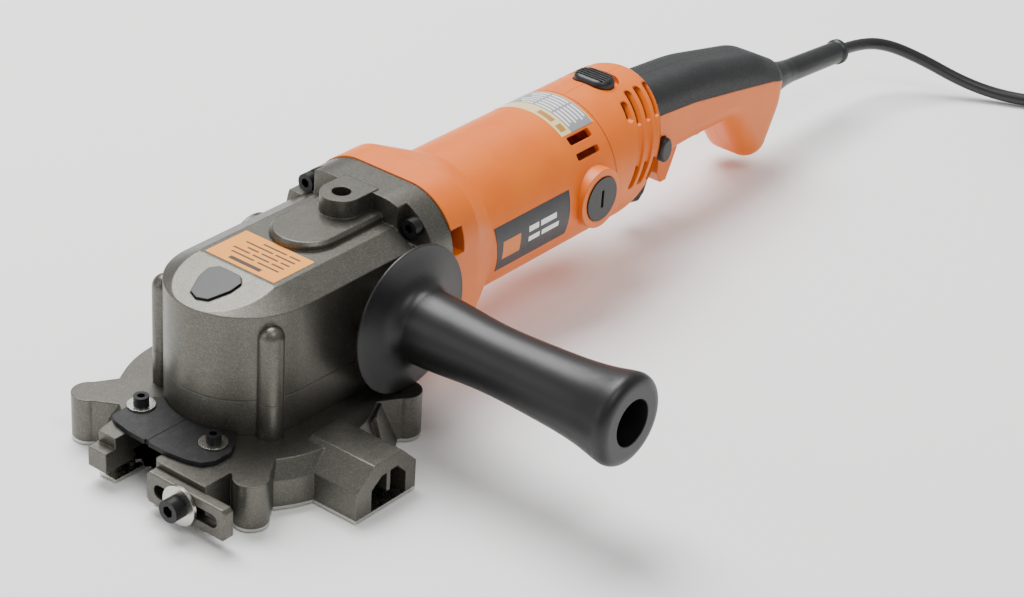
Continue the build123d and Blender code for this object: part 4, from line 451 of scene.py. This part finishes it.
def add_cord(finishes):
    """The mains cord: out of its guard, down to the floor, into the coil and up to the plug."""
    coil = coil_points()
    points = [EXIT] + CORD_ROUTE + coil + climb_points(coil[-1])
    line = bpy.data.curves.new("mains_cord", "CURVE")
    line.dimensions = "3D"
    spline = line.splines.new("NURBS")
    spline.points.add(len(points) - 1)
    for spot, point in zip(spline.points, points):
        spot.co = [v * MM for v in point] + [1.0]
    spline.order_u = 3
    spline.use_endpoint_u = True
    spline.resolution_u = 6
    line.bevel_depth = CORD_D / 2 * MM
    line.bevel_resolution = 5
    line.use_fill_caps = True
    piece = bpy.data.objects.new("mains_cord", line)
    bpy.context.scene.collection.objects.link(piece)
    line.materials.append(finishes["sheath"])
    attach(piece, TOOL)
    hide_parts("cord", "cord_coil")
    tie = add_coil_tie(finishes["rubber"])


TIE_WIDTH = 10.0
TIE_THICK = 0.9
TIE_ROUND = 4.0
TIE_STEPS = 6           # to a corner


def tie_ring(inset):
    """The tie's path round the coil's section: distance from the coil's centre, and height."""
    high = COIL_LAYERS * CORD_D + TIE_THICK
    middle = COIL_INNER_RING + (COIL_RINGS - 1) * CORD_D / 2
    half_wide = COIL_RINGS * CORD_D / 2 + TIE_THICK - inset
    half_high = high / 2 - inset
    corner = TIE_ROUND - inset
    points = []
    for turn, (sign_wide, sign_high) in enumerate(((1, 1), (-1, 1), (-1, -1), (1, -1))):
        for step in range(TIE_STEPS + 1):
            angle = math.pi / 2 * (turn + step / TIE_STEPS)
            points.append((middle + sign_wide * (half_wide - corner) + corner * math.cos(angle),
                           high / 2 + sign_high * (half_high - corner) + corner * math.sin(angle)))
    return points


def add_coil_tie(material):
    """A rubber strap that holds the coil together, on its side towards the tool."""
    mesh = bpy.data.meshes.new("coil_tie")
    maker = bmesh.new()
    loops = []
    for inset, side in ((0, -1), (0, 1), (TIE_THICK, 1), (TIE_THICK, -1)):
        y = COIL_AT[1] + side * TIE_WIDTH / 2
        loops.append([maker.verts.new(((COIL_AT[0] - r) * MM, y * MM, z * MM)) for r, z in tie_ring(inset)])
    for loop, after in zip(loops, loops[1:] + loops[:1]):
        for i in range(len(loop)):
            maker.faces.new((loop[i - 1], loop[i], after[i], after[i - 1]))
    bmesh.ops.recalc_face_normals(maker, faces=maker.faces)
    maker.to_mesh(mesh)
    maker.free()
    tie = bpy.data.objects.new("coil_tie", mesh)
    bpy.context.scene.collection.objects.link(tie)
    tie.data.materials.append(material)
    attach(tie, TOOL)
    return tie


# ---------------------------------------------------------------- light and floor
def add_stage():
    """A plain pale floor and soft studio light."""
    mesh = bpy.data.meshes.new("floor")
    maker = bmesh.new()
    corners = [maker.verts.new((x, y, FLOOR_Z)) for x, y in FLOOR_CORNERS]
    maker.faces.new(corners)
    maker.to_mesh(mesh)
    maker.free()
    floor = bpy.data.objects.new("floor", mesh)
    bpy.context.scene.collection.objects.link(floor)
    material, tree, shader, place = start("plain white sweep")
    dress(shader, tree, mix(tree, noise(tree, place, 0.8), "#f7f7f6", "#fafaf9"), 0.75, 0.0)
    floor.data.materials.append(material)
    world = bpy.data.worlds.new("studio")
    world.use_nodes = True
    back = world.node_tree.nodes["Background"]
    back.inputs["Color"].default_value = (1.0, 1.0, 1.0, 1.0)
    back.inputs["Strength"].default_value = SKY_STRENGTH
    bpy.context.scene.world = world
    aim = Vector(LIGHT_AIM)
    for name, place, power, size in LIGHTS:
        lamp = bpy.data.lights.new(name, "AREA")
        lamp.energy = power
        lamp.size = size
        light = bpy.data.objects.new(name, lamp)
        light.location = place
        light.rotation_euler = (aim - Vector(place)).to_track_quat("-Z", "Y").to_euler()
        bpy.context.scene.collection.objects.link(light)


add_camera()
finishes = make_materials()
add_cord(finishes)
for finish, nodes in FINISH.items():
    for name in nodes:
        paint(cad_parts[name], finishes[finish])
add_stage()
